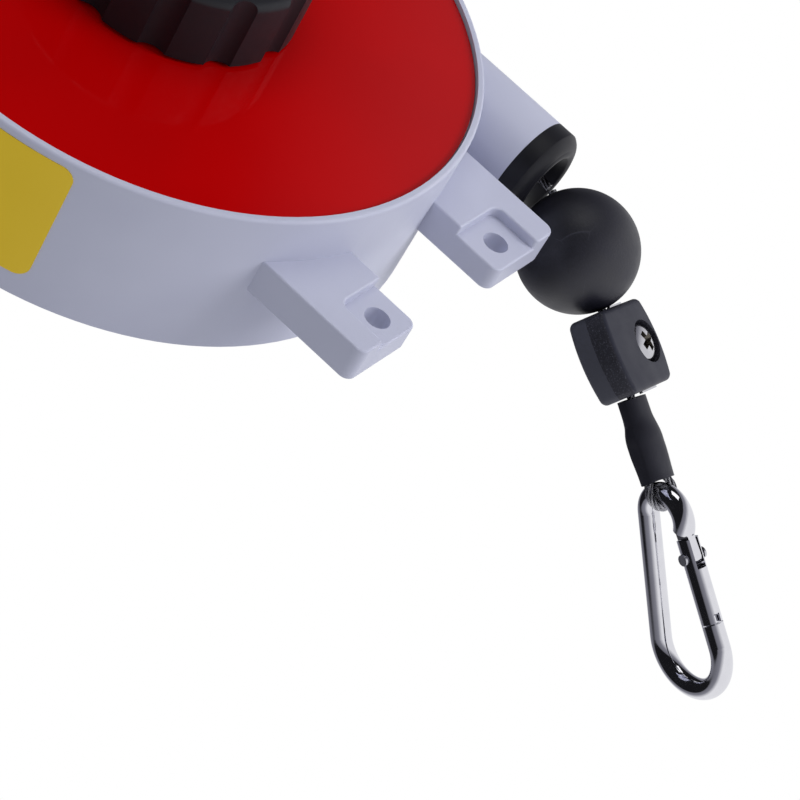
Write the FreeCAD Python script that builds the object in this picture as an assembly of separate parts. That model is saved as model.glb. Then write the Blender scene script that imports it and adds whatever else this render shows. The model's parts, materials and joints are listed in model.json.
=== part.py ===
# Spring tool balancer: a round moulded housing with a rope drum and mainspring inside, a top hook,
# and a wire rope that leaves a tangential nozzle and ends in a ball stop, rope clamp and carabiner.
# Millimetres. The pieces are laid out about the drum: X to the right seen from the front, Y from the
# front face plate to the back cover, Z up, zero on the drum axis at the face plate's front.
# Every piece is then moved so that the origin is the seat inside the top hook.
import FreeCAD, Part
import math
import os

Vector = FreeCAD.Vector
Placement = FreeCAD.Placement
Rotation = FreeCAD.Rotation
X_AXIS = Vector(1, 0, 0)
Y_AXIS = Vector(0, 1, 0)
Z_AXIS = Vector(0, 0, 1)

# ---- driving dimensions: clearances -------------------------------------------------------------
running_gap = 0.05          # radial gap of a shaft in its bush
moving_gap = 0.3            # axial gap between pieces that move past each other
fitting_gap = 0.1           # gap round a piece that is pushed or bonded into a seat

# ---- housing and back cover ---------------------------------------------------------------------
plate_thickness = 1.2
plate_edge_gap = 0.35       # dark line round the face plate
plate_bore_radius = 13.0
lip_width = 1.6             # thin raised rim round the face plate
lip_height = 1.0
lip_round = 0.7
wall = 3.0
front_wall = 3.0
housing_depth = 36.4        # face plate front to rear rim
cover_thickness = 2.6
cover_edge_gap = 0.2
cover_ledge = 1.5           # width of the ledge that the back cover rests on
boss_radius = 3.6
boss_room = 1.6             # drum flange to screw boss
boss_inset = 6.4            # screw boss centre, in from the housing's outside
boss_angles = (0, 75, 125, 180, 235, 285)
screw_core_radius = 1.3
cover_screw_radius = 1.5
cover_screw_length = 12.0
screw_head_radius = 2.8
screw_head_height = 1.8
sticker_length = 61.4
sticker_width = 30.2
sticker_front = 0.8
sticker_thickness = 0.15
film_gap = 0.02             # glue line under the sticker
sticker_corner = 3.0

# ---- lugs ---------------------------------------------------------------------------------------
lug_inner = 14.9            # inner side of each lug, out from the centre plane
lug_outer = 35.9
lug_front = 10.35
lug_back = 19.0
lug_reach = 90.1            # end of the lug below the drum axis
lug_corner = 2.4
pocket_depth = 2.45
pocket_width = 13.9
pocket_height = 12.0
pocket_corner = 2.2
pocket_edge_round = 0.5
lug_hole_radius = 2.92
lug_hole_x = 22.0
lug_hole_z = -84.2

# ---- rope, nozzle and guide ---------------------------------------------------------------------
rope_radius = 1.0
rope_pitch_radius = 53.5    # rope centre line on the drum; the nozzle stands on its tangent
rope_plane_y = 16.0
rope_turns = 6
nozzle_radius = 12.0
nozzle_reach = 71.5         # end of the grey tube below the drum axis
nozzle_bore_radius = 8.5
column_start = 20.0         # height at which nozzle and hook column leave the housing
guide_straight = 3.9
guide_nose = 2.5
guide_lip_radius = 9.2
guide_mouth_radius = 7.2
guide_throat_radius = 2.4
guide_spigot = 9.0

# ---- drum, arbor and mainspring -----------------------------------------------------------------
journal_radius = 6.0
bush_wall = 2.0
front_bush_length = 4.0
bush_flange_radius = 10.5
bush_flange_thickness = 1.0
drum_width = 19.0
drum_flange_rise = 6.5      # flanges stand this far above the rope's centre line
drum_flange_thickness = 3.0
drum_web = 3.5
drum_rim = 6.5
drum_hub_radius = 11.5
drum_cover_thickness = 2.0
drum_cover_hub = 3.1        # how far the hub stands above the drum cover
drum_cover_margin = 0.8
drum_screw_radius = 1.5
drum_screw_length = 10.0
nipple_radius = 2.2
nipple_length = 6.0
spring_strip = 0.6
spring_side_gap = 0.7
spring_coils = 9
arbor_core_radius = 9.0
hub_boss_radius = 15.0
hub_boss_height = 4.0       # how far the rear hub stands out of the back cover
cover_rib_height = 3.0
cover_rib_width = 2.0
cover_rib_count = 6
cover_ring_radius = 42.0
clip_thickness = 1.2
clip_radius = 8.5
clip_groove_depth = 1.0
arbor_tail = 0.8

# ---- tension knob -------------------------------------------------------------------------------
knob_radius = 28.0
knob_height = 17.0
knob_gap = 0.8              # knob skirt to face plate
knob_wall = 3.0
knob_hub_radius = 11.0
knob_flutes = 12
knob_flute_radius = 4.0
knob_flute_depth = 1.6
knob_edge_round = 2.0
knob_dish_radius = 20.0
knob_dish_depth = 1.2
flat_depth = 1.2            # drive flat on the arbor's front end
knob_screw_radius = 2.5
knob_screw_length = 14.0
knob_screw_head_radius = 4.8
knob_screw_head_height = 3.0
friction_washer_radius = 10.5
friction_washer_thickness = 1.3

# ---- top hook -----------------------------------------------------------------------------------
column_top = 71.5
column_web = 11.5           # solid end of the hook column
column_round = 2.0
hook_bar_radius = 4.0
hook_bend_radius = 13.0     # centre line of the bowl
hook_neck = 5.0             # straight shank above the collar
hook_collar_radius = 7.0
hook_collar_height = 3.0
hook_entry_angle = 60.0     # how far the S bend turns before the bowl
hook_tip_angle = 24.0       # how far the tip runs past the bowl's side
hook_bush_wall = 1.5
hook_bush_flange_radius = 7.6
hook_bush_flange = 1.5
hook_nut_flats = 13.0
hook_nut_height = 6.5
hook_pin_radius = 1.0
latch_thickness = 0.9
latch_cheek_gap = 0.3
latch_pin_radius = 1.5
latch_end_gap = 0.4
latch_height = 6.0
latch_web_start = 12.0      # cheeks run free beside the bar up to here

# ---- rope end: ball stop, clamp, sleeve ---------------------------------------------------------
pivot_gap = 1.4             # rope bends this far below the guide's mouth
rope_break = 0.4            # bare length on each side of the bend
chain_azimuth = 18.7        # side that the rope end swings to, from straight back towards the plate
chain_tilt = 26.4           # lean of ball and clamp, back from straight down
ball_radius = 13.95
ball_drop = 15.0            # bend to ball centre
ball_bore_gap = 0.3
clamp_length = 19.5
clamp_width_end = 19.4
clamp_width_middle = 22.6
clamp_depth_end = 9.2
clamp_depth_middle = 9.6
clamp_round = 1.0
clamp_split = 0.0           # split face, through the rope's middle
clamp_roll = -5.2           # turn of the clamp on the rope
clamp_screw_offset = 4.8
clamp_screw_drop = 9.8
clamp_screw_radius = 2.0
clamp_head_radius = 4.0
clamp_head_height = 2.4
clamp_bore_radius = 5.0
clamp_bore_depth = 2.4
clamp_recess_width = 1.1
clamp_recess_depth = 1.4
clamp_nut_flats = 7.0
clamp_nut_height = 2.4
clamp_nut_cover = 1.4       # plastic behind the nut
clamp_plate_thickness = 0.8
clamp_plate_near = 1.5      # plate's edge beside the rope
clamp_plate_far = 9.0
clamp_plate_proud = 0.5     # plate stands out of both ends of the clamp
clamp_plate_chamfer = 1.8   # corner cut off under the ball
sleeve_tilt = 32.0
sleeve_offset = 1.2         # rope leaves the clamp this far back of its middle
sleeve_side = -1.85         # and this far to the side away from the screw
sleeve_length = 18.65
sleeve_top_radius = 3.5
sleeve_bulge_radius = 4.45
sleeve_end_radius = 4.15
sleeve_bulge_drop = 8.6
sleeve_flatness = 0.8       # depth over width of the sleeve's oval
sleeve_wall = 0.4
ferrule_drop = 7.4
ferrule_length = 9.0
ferrule_gap = 0.45          # ferrule to the sleeve's inside
eye_drop = 3.05             # sleeve end to the wire that the eye holds
eye_side_gap = 0.45         # legs of the eye to the sleeve's inside
eye_flare = 0.6             # the legs begin to spread this far inside the sleeve
eye_gap = 0.35

# ---- carabiner ----------------------------------------------------------------------------------
carabiner_azimuth = -21.9   # the carabiner hangs turned, leaned back and twisted on the eye
carabiner_tilt = 39.9
carabiner_twist = 18.9
wire_radius = 2.45
top_bend_radius = 5.75
bottom_bend_radius = 9.9
bend_distance = 30.6        # top bend centre to bottom bend centre
top_bend_end = 25.0         # how far the top bend curls in before the gate
gate_start = 10.0           # gate's top end, below the top wire
gate_root = 5.8             # gate's top end, forward of the top wire
gate_length = 19.4
rivet_drop = 4.1            # gate's top end to rivet
rivet_radius = 0.8
rivet_head_radius = 1.3
rivet_head_height = 0.5
tongue_thickness = 2.0
tongue_eye_radius = 1.9
cheek_gap = 0.2
gate_slot_drop = 6.8        # gate's top end to slot floor
nose_tab_thickness = 1.2
nose_tab_length = 1.8
gate_spring_radius = 0.8
gate_spring_length = 4.2

# ---- derived places -----------------------------------------------------------------------------
drum_flange_radius = rope_pitch_radius + drum_flange_rise
boss_ring = drum_flange_radius + boss_room + boss_radius
body_radius = boss_ring + boss_inset
plate_radius = body_radius - lip_width        # recess that holds the red face plate
cavity_radius = body_radius - wall
seat_y = plate_thickness                      # front wall's outer face
inner_front = seat_y + front_wall             # front wall's inner face
cover_inner = housing_depth - cover_thickness
column_x = rope_pitch_radius
drum_front = rope_plane_y - drum_width / 2
drum_back = rope_plane_y + drum_width / 2
rim_outer = rope_pitch_radius - rope_radius
rim_inner = rim_outer - drum_rim
rim_middle = (rim_outer + rim_inner) / 2
bush_radius = journal_radius + bush_wall
drum_hub_back = drum_back + drum_cover_thickness + drum_cover_hub
rear_hub_front = drum_hub_back + moving_gap
rear_hub_back = housing_depth + hub_boss_height
clip_front = rear_hub_back + moving_gap
arbor_back = clip_front + clip_thickness + arbor_tail
washer_front = seat_y - friction_washer_thickness
knob_hub_back = washer_front - moving_gap
knob_back = -knob_gap
knob_front = knob_back - knob_height
knob_dish = knob_front + knob_dish_depth
knob_seat = knob_dish + knob_screw_head_height
arbor_front = knob_seat + knob_wall
guide_end = -(nozzle_reach + guide_straight + guide_nose)
web_under = column_top - column_web
collar_base = column_top + moving_gap
hook_start = collar_base + hook_collar_height + hook_neck
bowl_centre = hook_start + 2 * hook_bend_radius * math.sin(math.radians(hook_entry_angle))
hook_seat = Vector(column_x, rope_plane_y, bowl_centre + hook_bend_radius - hook_bar_radius)
bend = Vector(column_x, rope_plane_y, guide_end - pivot_gap)
ball_bottom = ball_drop + ball_radius
clamp_top = ball_bottom + moving_gap
clamp_bottom = clamp_top + clamp_length


# ---- shared shapes ------------------------------------------------------------------------------
def cyl_y(radius, front, back, x=0.0, z=0.0):
    return Part.makeCylinder(radius, back - front, Vector(x, front, z), Y_AXIS)


def ring_y(outer, inner, front, back, x=0.0, z=0.0):
    return cyl_y(outer, front, back, x, z).cut(cyl_y(inner, front - 1, back + 1, x, z))


def cyl_z(radius, low, high, x=0.0, y=0.0):
    return Part.makeCylinder(radius, high - low, Vector(x, y, low), Z_AXIS)


def block(x0, x1, y0, y1, z0, z1):
    return Part.makeBox(x1 - x0, y1 - y0, z1 - z0, Vector(x0, y0, z0))


def turned(profile, axis):
    """Revolve a closed outline of (radius, place along axis) about the Y or Z axis."""
    points = [axis * along + X_AXIS * radius for radius, along in profile]
    face = Part.Face(Part.makePolygon(points + points[:1]))
    return face.revolve(Vector(0, 0, 0), axis, 360)


def rounded_face(corners, across, up, origin):
    """Face of a polygon whose corners are (a, b, radius) in the plane of two directions."""
    spots = [origin + across * a + up * b for a, b, _ in corners]
    edges = []
    starts = []
    ends = []
    for i, (_, _, radius) in enumerate(corners):
        before = (spots[i - 1] - spots[i]).normalize()
        after = (spots[(i + 1) % len(spots)] - spots[i]).normalize()
        half = before.getAngle(after) / 2
        back_off = radius / math.tan(half)
        first = spots[i] + before * back_off
        last = spots[i] + after * back_off
        starts.append(first)
        ends.append(last)
        if radius > 0:
            middle = spots[i] + (before + after).normalize() * (radius / math.sin(half) - radius)
            edges.append((i, Part.Arc(first, middle, last).toShape()))
    outline = []
    arcs = dict(edges)
    for i in range(len(spots)):
        if i in arcs:
            outline.append(arcs[i])
        gap = starts[(i + 1) % len(spots)] - ends[i]
        if gap.Length > 1e-6:
            outline.append(Part.LineSegment(ends[i], starts[(i + 1) % len(spots)]).toShape())
    return Part.Face(Part.Wire(outline))


def polar(shape, angles, axis=Y_AXIS):
    """Copies of a shape turned about an axis through the origin."""
    copies = []
    for angle in angles:
        copy = shape.copy()
        copy.rotate(Vector(0, 0, 0), axis, angle)
        copies.append(copy)
    return copies


def even(count):
    return [360.0 * i / count for i in range(count)]


def soften(shape, radius, wanted):
    """Fillet the edges that a test picks."""
    return shape.makeFillet(radius, [edge for edge in shape.Edges if wanted(edge)])


def lies_on(edge, pick, value, slack=0.01):
    """True where the whole edge has one coordinate at a value."""
    box = edge.BoundBox
    low, high = {"x": (box.XMin, box.XMax), "y": (box.YMin, box.YMax), "z": (box.ZMin, box.ZMax)}[pick]
    return abs(low - value) < slack and abs(high - value) < slack


def hexagon(flats, height, base, axis_x, axis_y, axis):
    """Nut blank of a given width across flats, standing on base along axis."""
    radius = flats / math.sqrt(3)
    points = []
    for i in range(7):
        turn = math.radians(60 * i)
        points.append(base + axis_x * (radius * math.cos(turn)) + axis_y * (radius * math.sin(turn)))
    return Part.Face(Part.makePolygon(points)).extrude(axis * height)


def piped(edges, radius, start, direction):
    """Round bar along a path of tangent runs."""
    section = Part.Wire(Part.makeCircle(radius, start, direction))
    return Part.Wire(edges).makePipeShell([section], True, True)


def stance(point, azimuth, tilt, roll=0.0):
    """Pose of a piece that was drawn hanging straight down: rolled, leaned back, then turned about Z."""
    turn = Rotation(Z_AXIS, azimuth).multiply(Rotation(X_AXIS, tilt)).multiply(Rotation(Z_AXIS, roll))
    return Placement(point, turn)


def posed(shape, pose):
    placed = shape.copy()
    placed.Placement = pose.multiply(placed.Placement)
    return placed


def down(point, tilt, length, back=0.0, side=0.0):
    """Point along the leaning rope end, and offset to its back and side."""
    return stance(point, chain_azimuth, tilt).multVec(Vector(side, back, -length))


sleeve_rise = sleeve_top_radius * math.sin(math.radians(sleeve_tilt - chain_tilt))
rope_exit = down(bend, chain_tilt, clamp_bottom, sleeve_offset, sleeve_side)
sleeve_start = down(bend, chain_tilt, clamp_bottom + moving_gap + sleeve_rise, sleeve_offset, sleeve_side)
eye_point = down(sleeve_start, sleeve_tilt, sleeve_length + eye_drop)
chain_pose = stance(bend, chain_azimuth, chain_tilt)
clamp_pose = stance(bend, chain_azimuth, chain_tilt, clamp_roll)
carabiner_pose = Placement(eye_point, Rotation(Z_AXIS, carabiner_azimuth).multiply(
    Rotation(X_AXIS, carabiner_tilt)).multiply(Rotation(Y_AXIS, carabiner_twist)))
wire_way = stance(sleeve_start, chain_azimuth, sleeve_tilt).Rotation.inverted().multVec(
    carabiner_pose.Rotation.multVec(Y_AXIS))
eye_turn = -math.degrees(math.atan2(wire_way.x, wire_way.y))    # the eye stands square to the top wire
sleeve_pose = stance(sleeve_start, chain_azimuth, sleeve_tilt, eye_turn)


# ---- housing ------------------------------------------------------------------------------------
def lug():
    """Right-hand lug: a slab with a raised wall round a corner pocket, and a through hole."""
    floor = lug_front + pocket_depth
    slab = rounded_face(
        [(lug_inner, 0, 0), (lug_outer, 0, 0), (lug_outer, -lug_reach, lug_corner),
         (lug_inner, -lug_reach, lug_corner)],
        X_AXIS, Z_AXIS, Vector(0, floor, 0),
    ).extrude(Y_AXIS * (lug_back - floor))
    pocket_side = lug_inner + pocket_width
    pocket_top = -lug_reach + pocket_height
    raised = rounded_face(
        [(lug_inner, 0, 0), (lug_outer, 0, 0), (lug_outer, -lug_reach, lug_corner),
         (pocket_side, -lug_reach, pocket_corner / 2), (pocket_side, pocket_top, pocket_corner),
         (lug_inner, pocket_top, pocket_edge_round)],
        X_AXIS, Z_AXIS, Vector(0, lug_front, 0),
    ).extrude(Y_AXIS * (pocket_depth + pocket_edge_round))
    slab = soften(slab, pocket_edge_round, lambda e: lies_on(e, "y", floor) or lies_on(e, "y", lug_back))
    raised = soften(raised, pocket_edge_round, lambda e: lies_on(e, "y", lug_front))
    body = slab.fuse(raised)
    root = -lug_reach + 3 * pocket_height
    body = body.cut(block(-body_radius, body_radius, 0, housing_depth, root, root + body_radius))
    body = body.cut(cyl_y(lug_hole_radius, 0, housing_depth, lug_hole_x, lug_hole_z))
    return body.cut(cyl_y(body_radius - wall / 2, 0, housing_depth))


def housing():
    shell = turned(
        [(bush_radius, seat_y), (plate_radius, seat_y), (plate_radius, -lip_height),
         (body_radius, -lip_height), (body_radius, housing_depth),
         (cavity_radius + cover_ledge, housing_depth), (cavity_radius + cover_ledge, cover_inner),
         (cavity_radius, cover_inner), (cavity_radius, inner_front),
         (bush_flange_radius, inner_front), (bush_flange_radius, seat_y + front_bush_length),
         (bush_radius, seat_y + front_bush_length)],
        Y_AXIS,
    )
    shell = soften(shell, lip_round, lambda e: lies_on(e, "y", -lip_height) and e.BoundBox.XMax > plate_radius + 1)
    nozzle = cyl_z(nozzle_radius, -nozzle_reach, -column_start, column_x, rope_plane_y)
    column = cyl_z(nozzle_radius, column_start, column_top, column_x, rope_plane_y)
    column = soften(column, column_round, lambda e: lies_on(e, "z", column_top))
    cavity = cyl_y(cavity_radius, inner_front, cover_inner)
    tubes = nozzle.fuse(column).cut(cavity)
    boss = cyl_y(boss_radius, inner_front, cover_inner, boss_ring)
    bosses = [piece.common(cyl_y(body_radius - wall / 2, 0, housing_depth)) for piece in polar(boss, boss_angles)]
    left_lug = lug().mirror(Vector(0, 0, 0), X_AXIS)
    body = shell.multiFuse([tubes, lug(), left_lug] + bosses)
    bore = cyl_z(nozzle_bore_radius, -nozzle_reach, -column_start, column_x, rope_plane_y)
    pocket = cyl_z(nozzle_bore_radius, column_start, web_under, column_x, rope_plane_y)
    sleeve_bore = cyl_z(hook_bar_radius + running_gap + hook_bush_wall, 0, column_top + 1, column_x, rope_plane_y)
    depth = cover_screw_length + moving_gap
    core = cyl_y(screw_core_radius + fitting_gap, housing_depth - depth, housing_depth, boss_ring)
    cores = polar(core, boss_angles)
    body = body.cut(bore).cut(pocket).cut(sleeve_bore.common(cyl_z(20, column_start, column_top + 1, column_x, rope_plane_y)))
    for hole in cores:
        body = body.cut(hole)
    return body.removeSplitter()


def back_cover():
    radius = cavity_radius + cover_ledge - cover_edge_gap
    plate = cyl_y(radius, cover_inner, housing_depth)
    plate = soften(plate, 0.5, lambda e: lies_on(e, "y", housing_depth))
    hub = turned(
        [(0, rear_hub_front), (hub_boss_radius - 3, rear_hub_front), (hub_boss_radius, cover_inner),
         (hub_boss_radius + 2, housing_depth), (hub_boss_radius, rear_hub_back), (0, rear_hub_back)],
        Y_AXIS,
    )
    ring = ring_y(cover_ring_radius + 1.5, cover_ring_radius - 1.5, housing_depth - 0.5, housing_depth + 1.0)
    rib = block(hub_boss_radius - 4, cavity_radius - boss_radius * 2 - 2, cover_inner - cover_rib_height,
                cover_inner + 0.5, -cover_rib_width / 2, cover_rib_width / 2)
    outer_rib = block(hub_boss_radius - 1, cover_ring_radius, housing_depth - 0.5, housing_depth + 1.0,
                      -cover_rib_width / 2, cover_rib_width / 2)
    step = 180.0 / cover_rib_count
    ribs = polar(rib, even(cover_rib_count)) + polar(outer_rib, [a + step for a in even(cover_rib_count)])
    cover = plate.multiFuse([hub, ring] + ribs)
    cover = cover.cut(cyl_y(bush_radius, 0, rear_hub_back + 1))
    hole = cyl_y(cover_screw_radius + fitting_gap, 0, housing_depth + 1, boss_ring)
    for cutter in polar(hole, boss_angles):
        cover = cover.cut(cutter)
    return cover.removeSplitter()


def pan_screw(radius, length, head_radius, head_height, slot_width, slot_depth):
    """Pan-head screw along Y: head towards +Y from zero, shank towards -Y, cross recess in the head."""
    head = cyl_y(head_radius, 0, head_height)
    head = soften(head, head_height * 0.45, lambda e: lies_on(e, "y", head_height))
    shank = cyl_y(radius, -length, 0)
    half = slot_width / 2
    arm = head_radius * 0.55
    low = head_height - slot_depth
    recess = block(-arm, arm, low, head_height + 1, -half, half)
    recess = recess.fuse(block(-half, half, low, head_height + 1, -arm, arm))
    return head.fuse(shank).cut(recess).removeSplitter()


def cover_screws():
    screw = pan_screw(screw_core_radius, cover_screw_length, screw_head_radius,
                      screw_head_height, 0.8, 1.0)
    screw.translate(Vector(boss_ring, housing_depth, 0))
    return Part.makeCompound(polar(screw, boss_angles))


def face_plate():
    return ring_y(plate_radius - plate_edge_gap, plate_bore_radius, 0, plate_thickness)


def side_sticker():
    back = sticker_front + sticker_width
    half = sticker_length / 2
    outline = rounded_face(
        [(sticker_front, -half, sticker_corner), (back, -half, sticker_corner),
         (back, half, sticker_corner), (sticker_front, half, sticker_corner)],
        Y_AXIS, Z_AXIS, Vector(-body_radius - 2, 0, 0),
    ).extrude(X_AXIS * (body_radius / 2))
    under = body_radius + film_gap
    return ring_y(under + sticker_thickness, under, 0, housing_depth).common(outline)


def cable_guide():
    """Black bush at the nozzle's end: a spigot, a flange that carries on the tube, a trumpet mouth."""
    seat = -nozzle_reach
    straight = seat - guide_straight
    lip = (guide_lip_radius + guide_mouth_radius) / 2
    edge = (guide_lip_radius - guide_mouth_radius) / 2
    profile = [
        Part.LineSegment(Vector(nozzle_bore_radius - fitting_gap, 0, seat), Vector(nozzle_radius, 0, seat)),
        Part.LineSegment(Vector(nozzle_radius, 0, seat), Vector(nozzle_radius, 0, straight)),
        Part.Arc(Vector(nozzle_radius, 0, straight),
                 Vector((nozzle_radius + guide_lip_radius) / 2 + 0.45, 0, straight - guide_nose * 0.52),
                 Vector(guide_lip_radius, 0, guide_end + edge * 0.3)),
        Part.Arc(Vector(guide_lip_radius, 0, guide_end + edge * 0.3), Vector(lip, 0, guide_end),
                 Vector(guide_mouth_radius, 0, guide_end + edge * 0.3)),
        Part.Arc(Vector(guide_mouth_radius, 0, guide_end + edge * 0.3),
                 Vector(guide_throat_radius + 1.5, 0, guide_end + 5.0),
                 Vector(guide_throat_radius, 0, seat + guide_spigot)),
        Part.LineSegment(Vector(guide_throat_radius, 0, seat + guide_spigot),
                         Vector(nozzle_bore_radius - fitting_gap, 0, seat + guide_spigot)),
        Part.LineSegment(Vector(nozzle_bore_radius - fitting_gap, 0, seat + guide_spigot),
                         Vector(nozzle_bore_radius - fitting_gap, 0, seat)),
    ]
    face = Part.Face(Part.Wire([line.toShape() for line in profile]))
    guide = face.revolve(Vector(0, 0, 0), Z_AXIS, 360)
    guide.translate(Vector(column_x, rope_plane_y, 0))
    return guide


# ---- drum and mainspring ------------------------------------------------------------------------
def front_bush():
    back = seat_y + front_bush_length
    bush = ring_y(bush_radius, journal_radius + running_gap, seat_y, back)
    return bush.fuse(ring_y(bush_flange_radius, journal_radius + running_gap, back, back + bush_flange_thickness))


def rear_bush():
    return ring_y(bush_radius, journal_radius + running_gap, rear_hub_front, rear_hub_back)


def cable_drum():
    web_back = drum_front + drum_web
    flange = drum_flange_thickness
    drum = turned(
        [(bush_radius, drum_front), (drum_flange_radius, drum_front),
         (drum_flange_radius, drum_front + flange), (rim_outer, drum_front + flange),
         (rim_outer, drum_back - flange), (drum_flange_radius, drum_back - flange),
         (drum_flange_radius, drum_back), (rim_inner, drum_back), (rim_inner, web_back),
         (bush_radius, web_back)],
        Y_AXIS,
    )
    pocket = cyl_y(nipple_radius + fitting_gap, drum_back - nipple_length - 1, drum_back + 1, -rim_middle)
    drum = drum.cut(pocket)
    core = cyl_y(drum_screw_radius + fitting_gap, drum_back - drum_screw_length, drum_back + 1, 0, rim_middle)
    for cutter in polar(core, [45 + a for a in even(4)]):
        drum = drum.cut(cutter)
    return drum


def drum_cover():
    hub_front = drum_back
    cover = cyl_y(rim_outer - drum_cover_margin, drum_back, drum_back + drum_cover_thickness)
    cover = cover.fuse(cyl_y(drum_hub_radius, hub_front, drum_hub_back))
    cover = cover.cut(cyl_y(bush_radius, 0, housing_depth))
    hole = cyl_y(drum_screw_radius + fitting_gap, 0, housing_depth, 0, rim_middle)
    for cutter in polar(hole, [45 + a for a in even(4)]):
        cover = cover.cut(cutter)
    return cover.removeSplitter()


def drum_cover_screws():
    screw = pan_screw(drum_screw_radius, drum_screw_length, screw_head_radius, screw_head_height, 0.8, 1.0)
    screw.translate(Vector(0, drum_back + drum_cover_thickness, rim_middle))
    return Part.makeCompound(polar(screw, [45 + a for a in even(4)]))


def drum_bushes():
    front = ring_y(bush_radius, journal_radius + running_gap, drum_front, drum_front + drum_web)
    back = ring_y(bush_radius, journal_radius + running_gap, drum_back, drum_hub_back)
    return Part.makeCompound([front, back])


def rope_winding():
    """The rope's turns side by side, one closed band with a bead for each turn."""
    half = rope_turns * rope_radius
    points = [Vector(rim_outer, rope_plane_y - half, 0), Vector(rim_outer, rope_plane_y + half, 0)]
    edges = [Part.LineSegment(points[0], points[1]).toShape()]
    edges.append(Part.LineSegment(points[1], Vector(rope_pitch_radius, rope_plane_y + half, 0)).toShape())
    for turn in range(rope_turns):
        far = rope_plane_y + half - 2 * rope_radius * turn
        near = far - 2 * rope_radius
        crown = Vector(rope_pitch_radius + rope_radius, (far + near) / 2, 0)
        edges.append(Part.Arc(Vector(rope_pitch_radius, far, 0), crown, Vector(rope_pitch_radius, near, 0)).toShape())
    edges.append(Part.LineSegment(Vector(rope_pitch_radius, rope_plane_y - half, 0), points[0]).toShape())
    return Part.Face(Part.Wire(edges)).revolve(Vector(0, 0, 0), Y_AXIS, 360)


def rope_nipple():
    return cyl_y(nipple_radius, drum_back - nipple_length, drum_back, -rim_middle)


def mainspring():
    """Spiral strip of half circles whose radius grows by half a pitch each time."""
    inner = arbor_core_radius + moving_gap
    outer = rim_inner - spring_strip - fitting_gap
    halves = 2 * spring_coils
    growth = (outer - inner) / halves
    spans = []
    radius = inner + growth / 2
    for i in range(halves):
        side = 1 if i % 2 == 0 else -1
        spans.append((radius, side, side * growth / 2))
        radius += growth
    inside = [arc_span(radius, side, shift) for radius, side, shift in spans]
    outside = [arc_span(radius + spring_strip, side, shift) for radius, side, shift in spans]
    first = spring_end(inside[0], 0)
    second = spring_end(outside[0], 0)
    third = spring_end(inside[-1], -1)
    fourth = spring_end(outside[-1], -1)
    caps = [Part.LineSegment(first, second).toShape(), Part.LineSegment(third, fourth).toShape()]
    outline = Part.Wire(Part.__sortEdges__([edge for edge, _ in inside + outside] + caps))
    low = drum_front + drum_web + spring_side_gap
    high = drum_back - spring_side_gap
    strip = Part.Face(outline).extrude(Y_AXIS * (high - low))
    strip.translate(Y_AXIS * low)
    return strip


def arc_span(radius, side, shift):
    """Half circle in the XZ plane about (shift, 0), above for side 1 and below for side -1."""
    start = Vector(shift - side * radius, 0, 0)
    end = Vector(shift + side * radius, 0, 0)
    return Part.Arc(start, Vector(shift, 0, side * radius), end).toShape(), (start, end)


def spring_end(span, which):
    return span[1][which]


def spring_arbor():
    """Shaft with a drive flat at the front, a core for the mainspring, and a clip groove at the back."""
    gap = moving_gap
    shaft = cyl_y(journal_radius, arbor_front, arbor_back)
    core = cyl_y(arbor_core_radius, drum_front + drum_web + gap, drum_back - gap)
    shaft = shaft.fuse(core)
    flat = block(-journal_radius, journal_radius, arbor_front - 1, knob_hub_back,
                 journal_radius - flat_depth, journal_radius + 1)
    groove = ring_y(journal_radius + 1, journal_radius - clip_groove_depth, clip_front, clip_front + clip_thickness)
    thread = cyl_y(knob_screw_radius + fitting_gap, arbor_front - 1, knob_seat + knob_screw_length + 1)
    return shaft.cut(flat).cut(groove).cut(thread).removeSplitter()


def arbor_clip():
    clip = ring_y(clip_radius, journal_radius - clip_groove_depth + running_gap, clip_front,
                  clip_front + clip_thickness)
    return clip.cut(block(-2, 2, clip_front - 1, clip_front + clip_thickness + 1, 0, clip_radius + 1))


def tension_knob():
    skin = turned(
        [(0, knob_dish), (knob_dish_radius - 1.5, knob_dish), (knob_dish_radius, knob_front),
         (knob_radius, knob_front), (knob_radius, knob_back), (knob_radius - knob_wall - knob_flute_depth, knob_back),
         (knob_radius - knob_wall - knob_flute_depth, arbor_front), (knob_hub_radius, arbor_front),
         (knob_hub_radius, knob_hub_back), (0, knob_hub_back)],
        Y_AXIS,
    )
    skin = soften(skin, knob_edge_round,
                  lambda e: lies_on(e, "y", knob_front) and e.BoundBox.XMax > knob_radius - 0.1)
    flute = cyl_y(knob_flute_radius, knob_front - 1, knob_back + 1, knob_radius + knob_flute_radius - knob_flute_depth)
    for cutter in polar(flute, even(knob_flutes)):
        skin = skin.cut(cutter)
    socket = cyl_y(journal_radius + fitting_gap, arbor_front - fitting_gap, knob_hub_back + 1)
    key = block(-journal_radius * 2, journal_radius * 2, arbor_front - 1, knob_hub_back + 1,
                journal_radius - flat_depth + fitting_gap, journal_radius * 2)
    skin = skin.cut(socket.cut(key))
    skin = skin.cut(cyl_y(knob_screw_head_radius + fitting_gap, knob_front - 1, knob_seat))
    return skin.cut(cyl_y(knob_screw_radius + fitting_gap, knob_front, arbor_front + 1)).removeSplitter()


def knob_screw():
    screw = pan_screw(knob_screw_radius, knob_screw_length, knob_screw_head_radius, knob_screw_head_height, 1.2, 1.6)
    screw.rotate(Vector(0, 0, 0), Z_AXIS, 180)
    screw.translate(Y_AXIS * knob_seat)
    return screw


def friction_washer():
    return ring_y(friction_washer_radius, journal_radius + moving_gap, washer_front, seat_y)


# ---- top hook -----------------------------------------------------------------------------------
def hook_point(radius, angle):
    turn = math.radians(angle)
    return Vector(column_x + radius * math.cos(turn), rope_plane_y, bowl_centre + radius * math.sin(turn))


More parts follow.
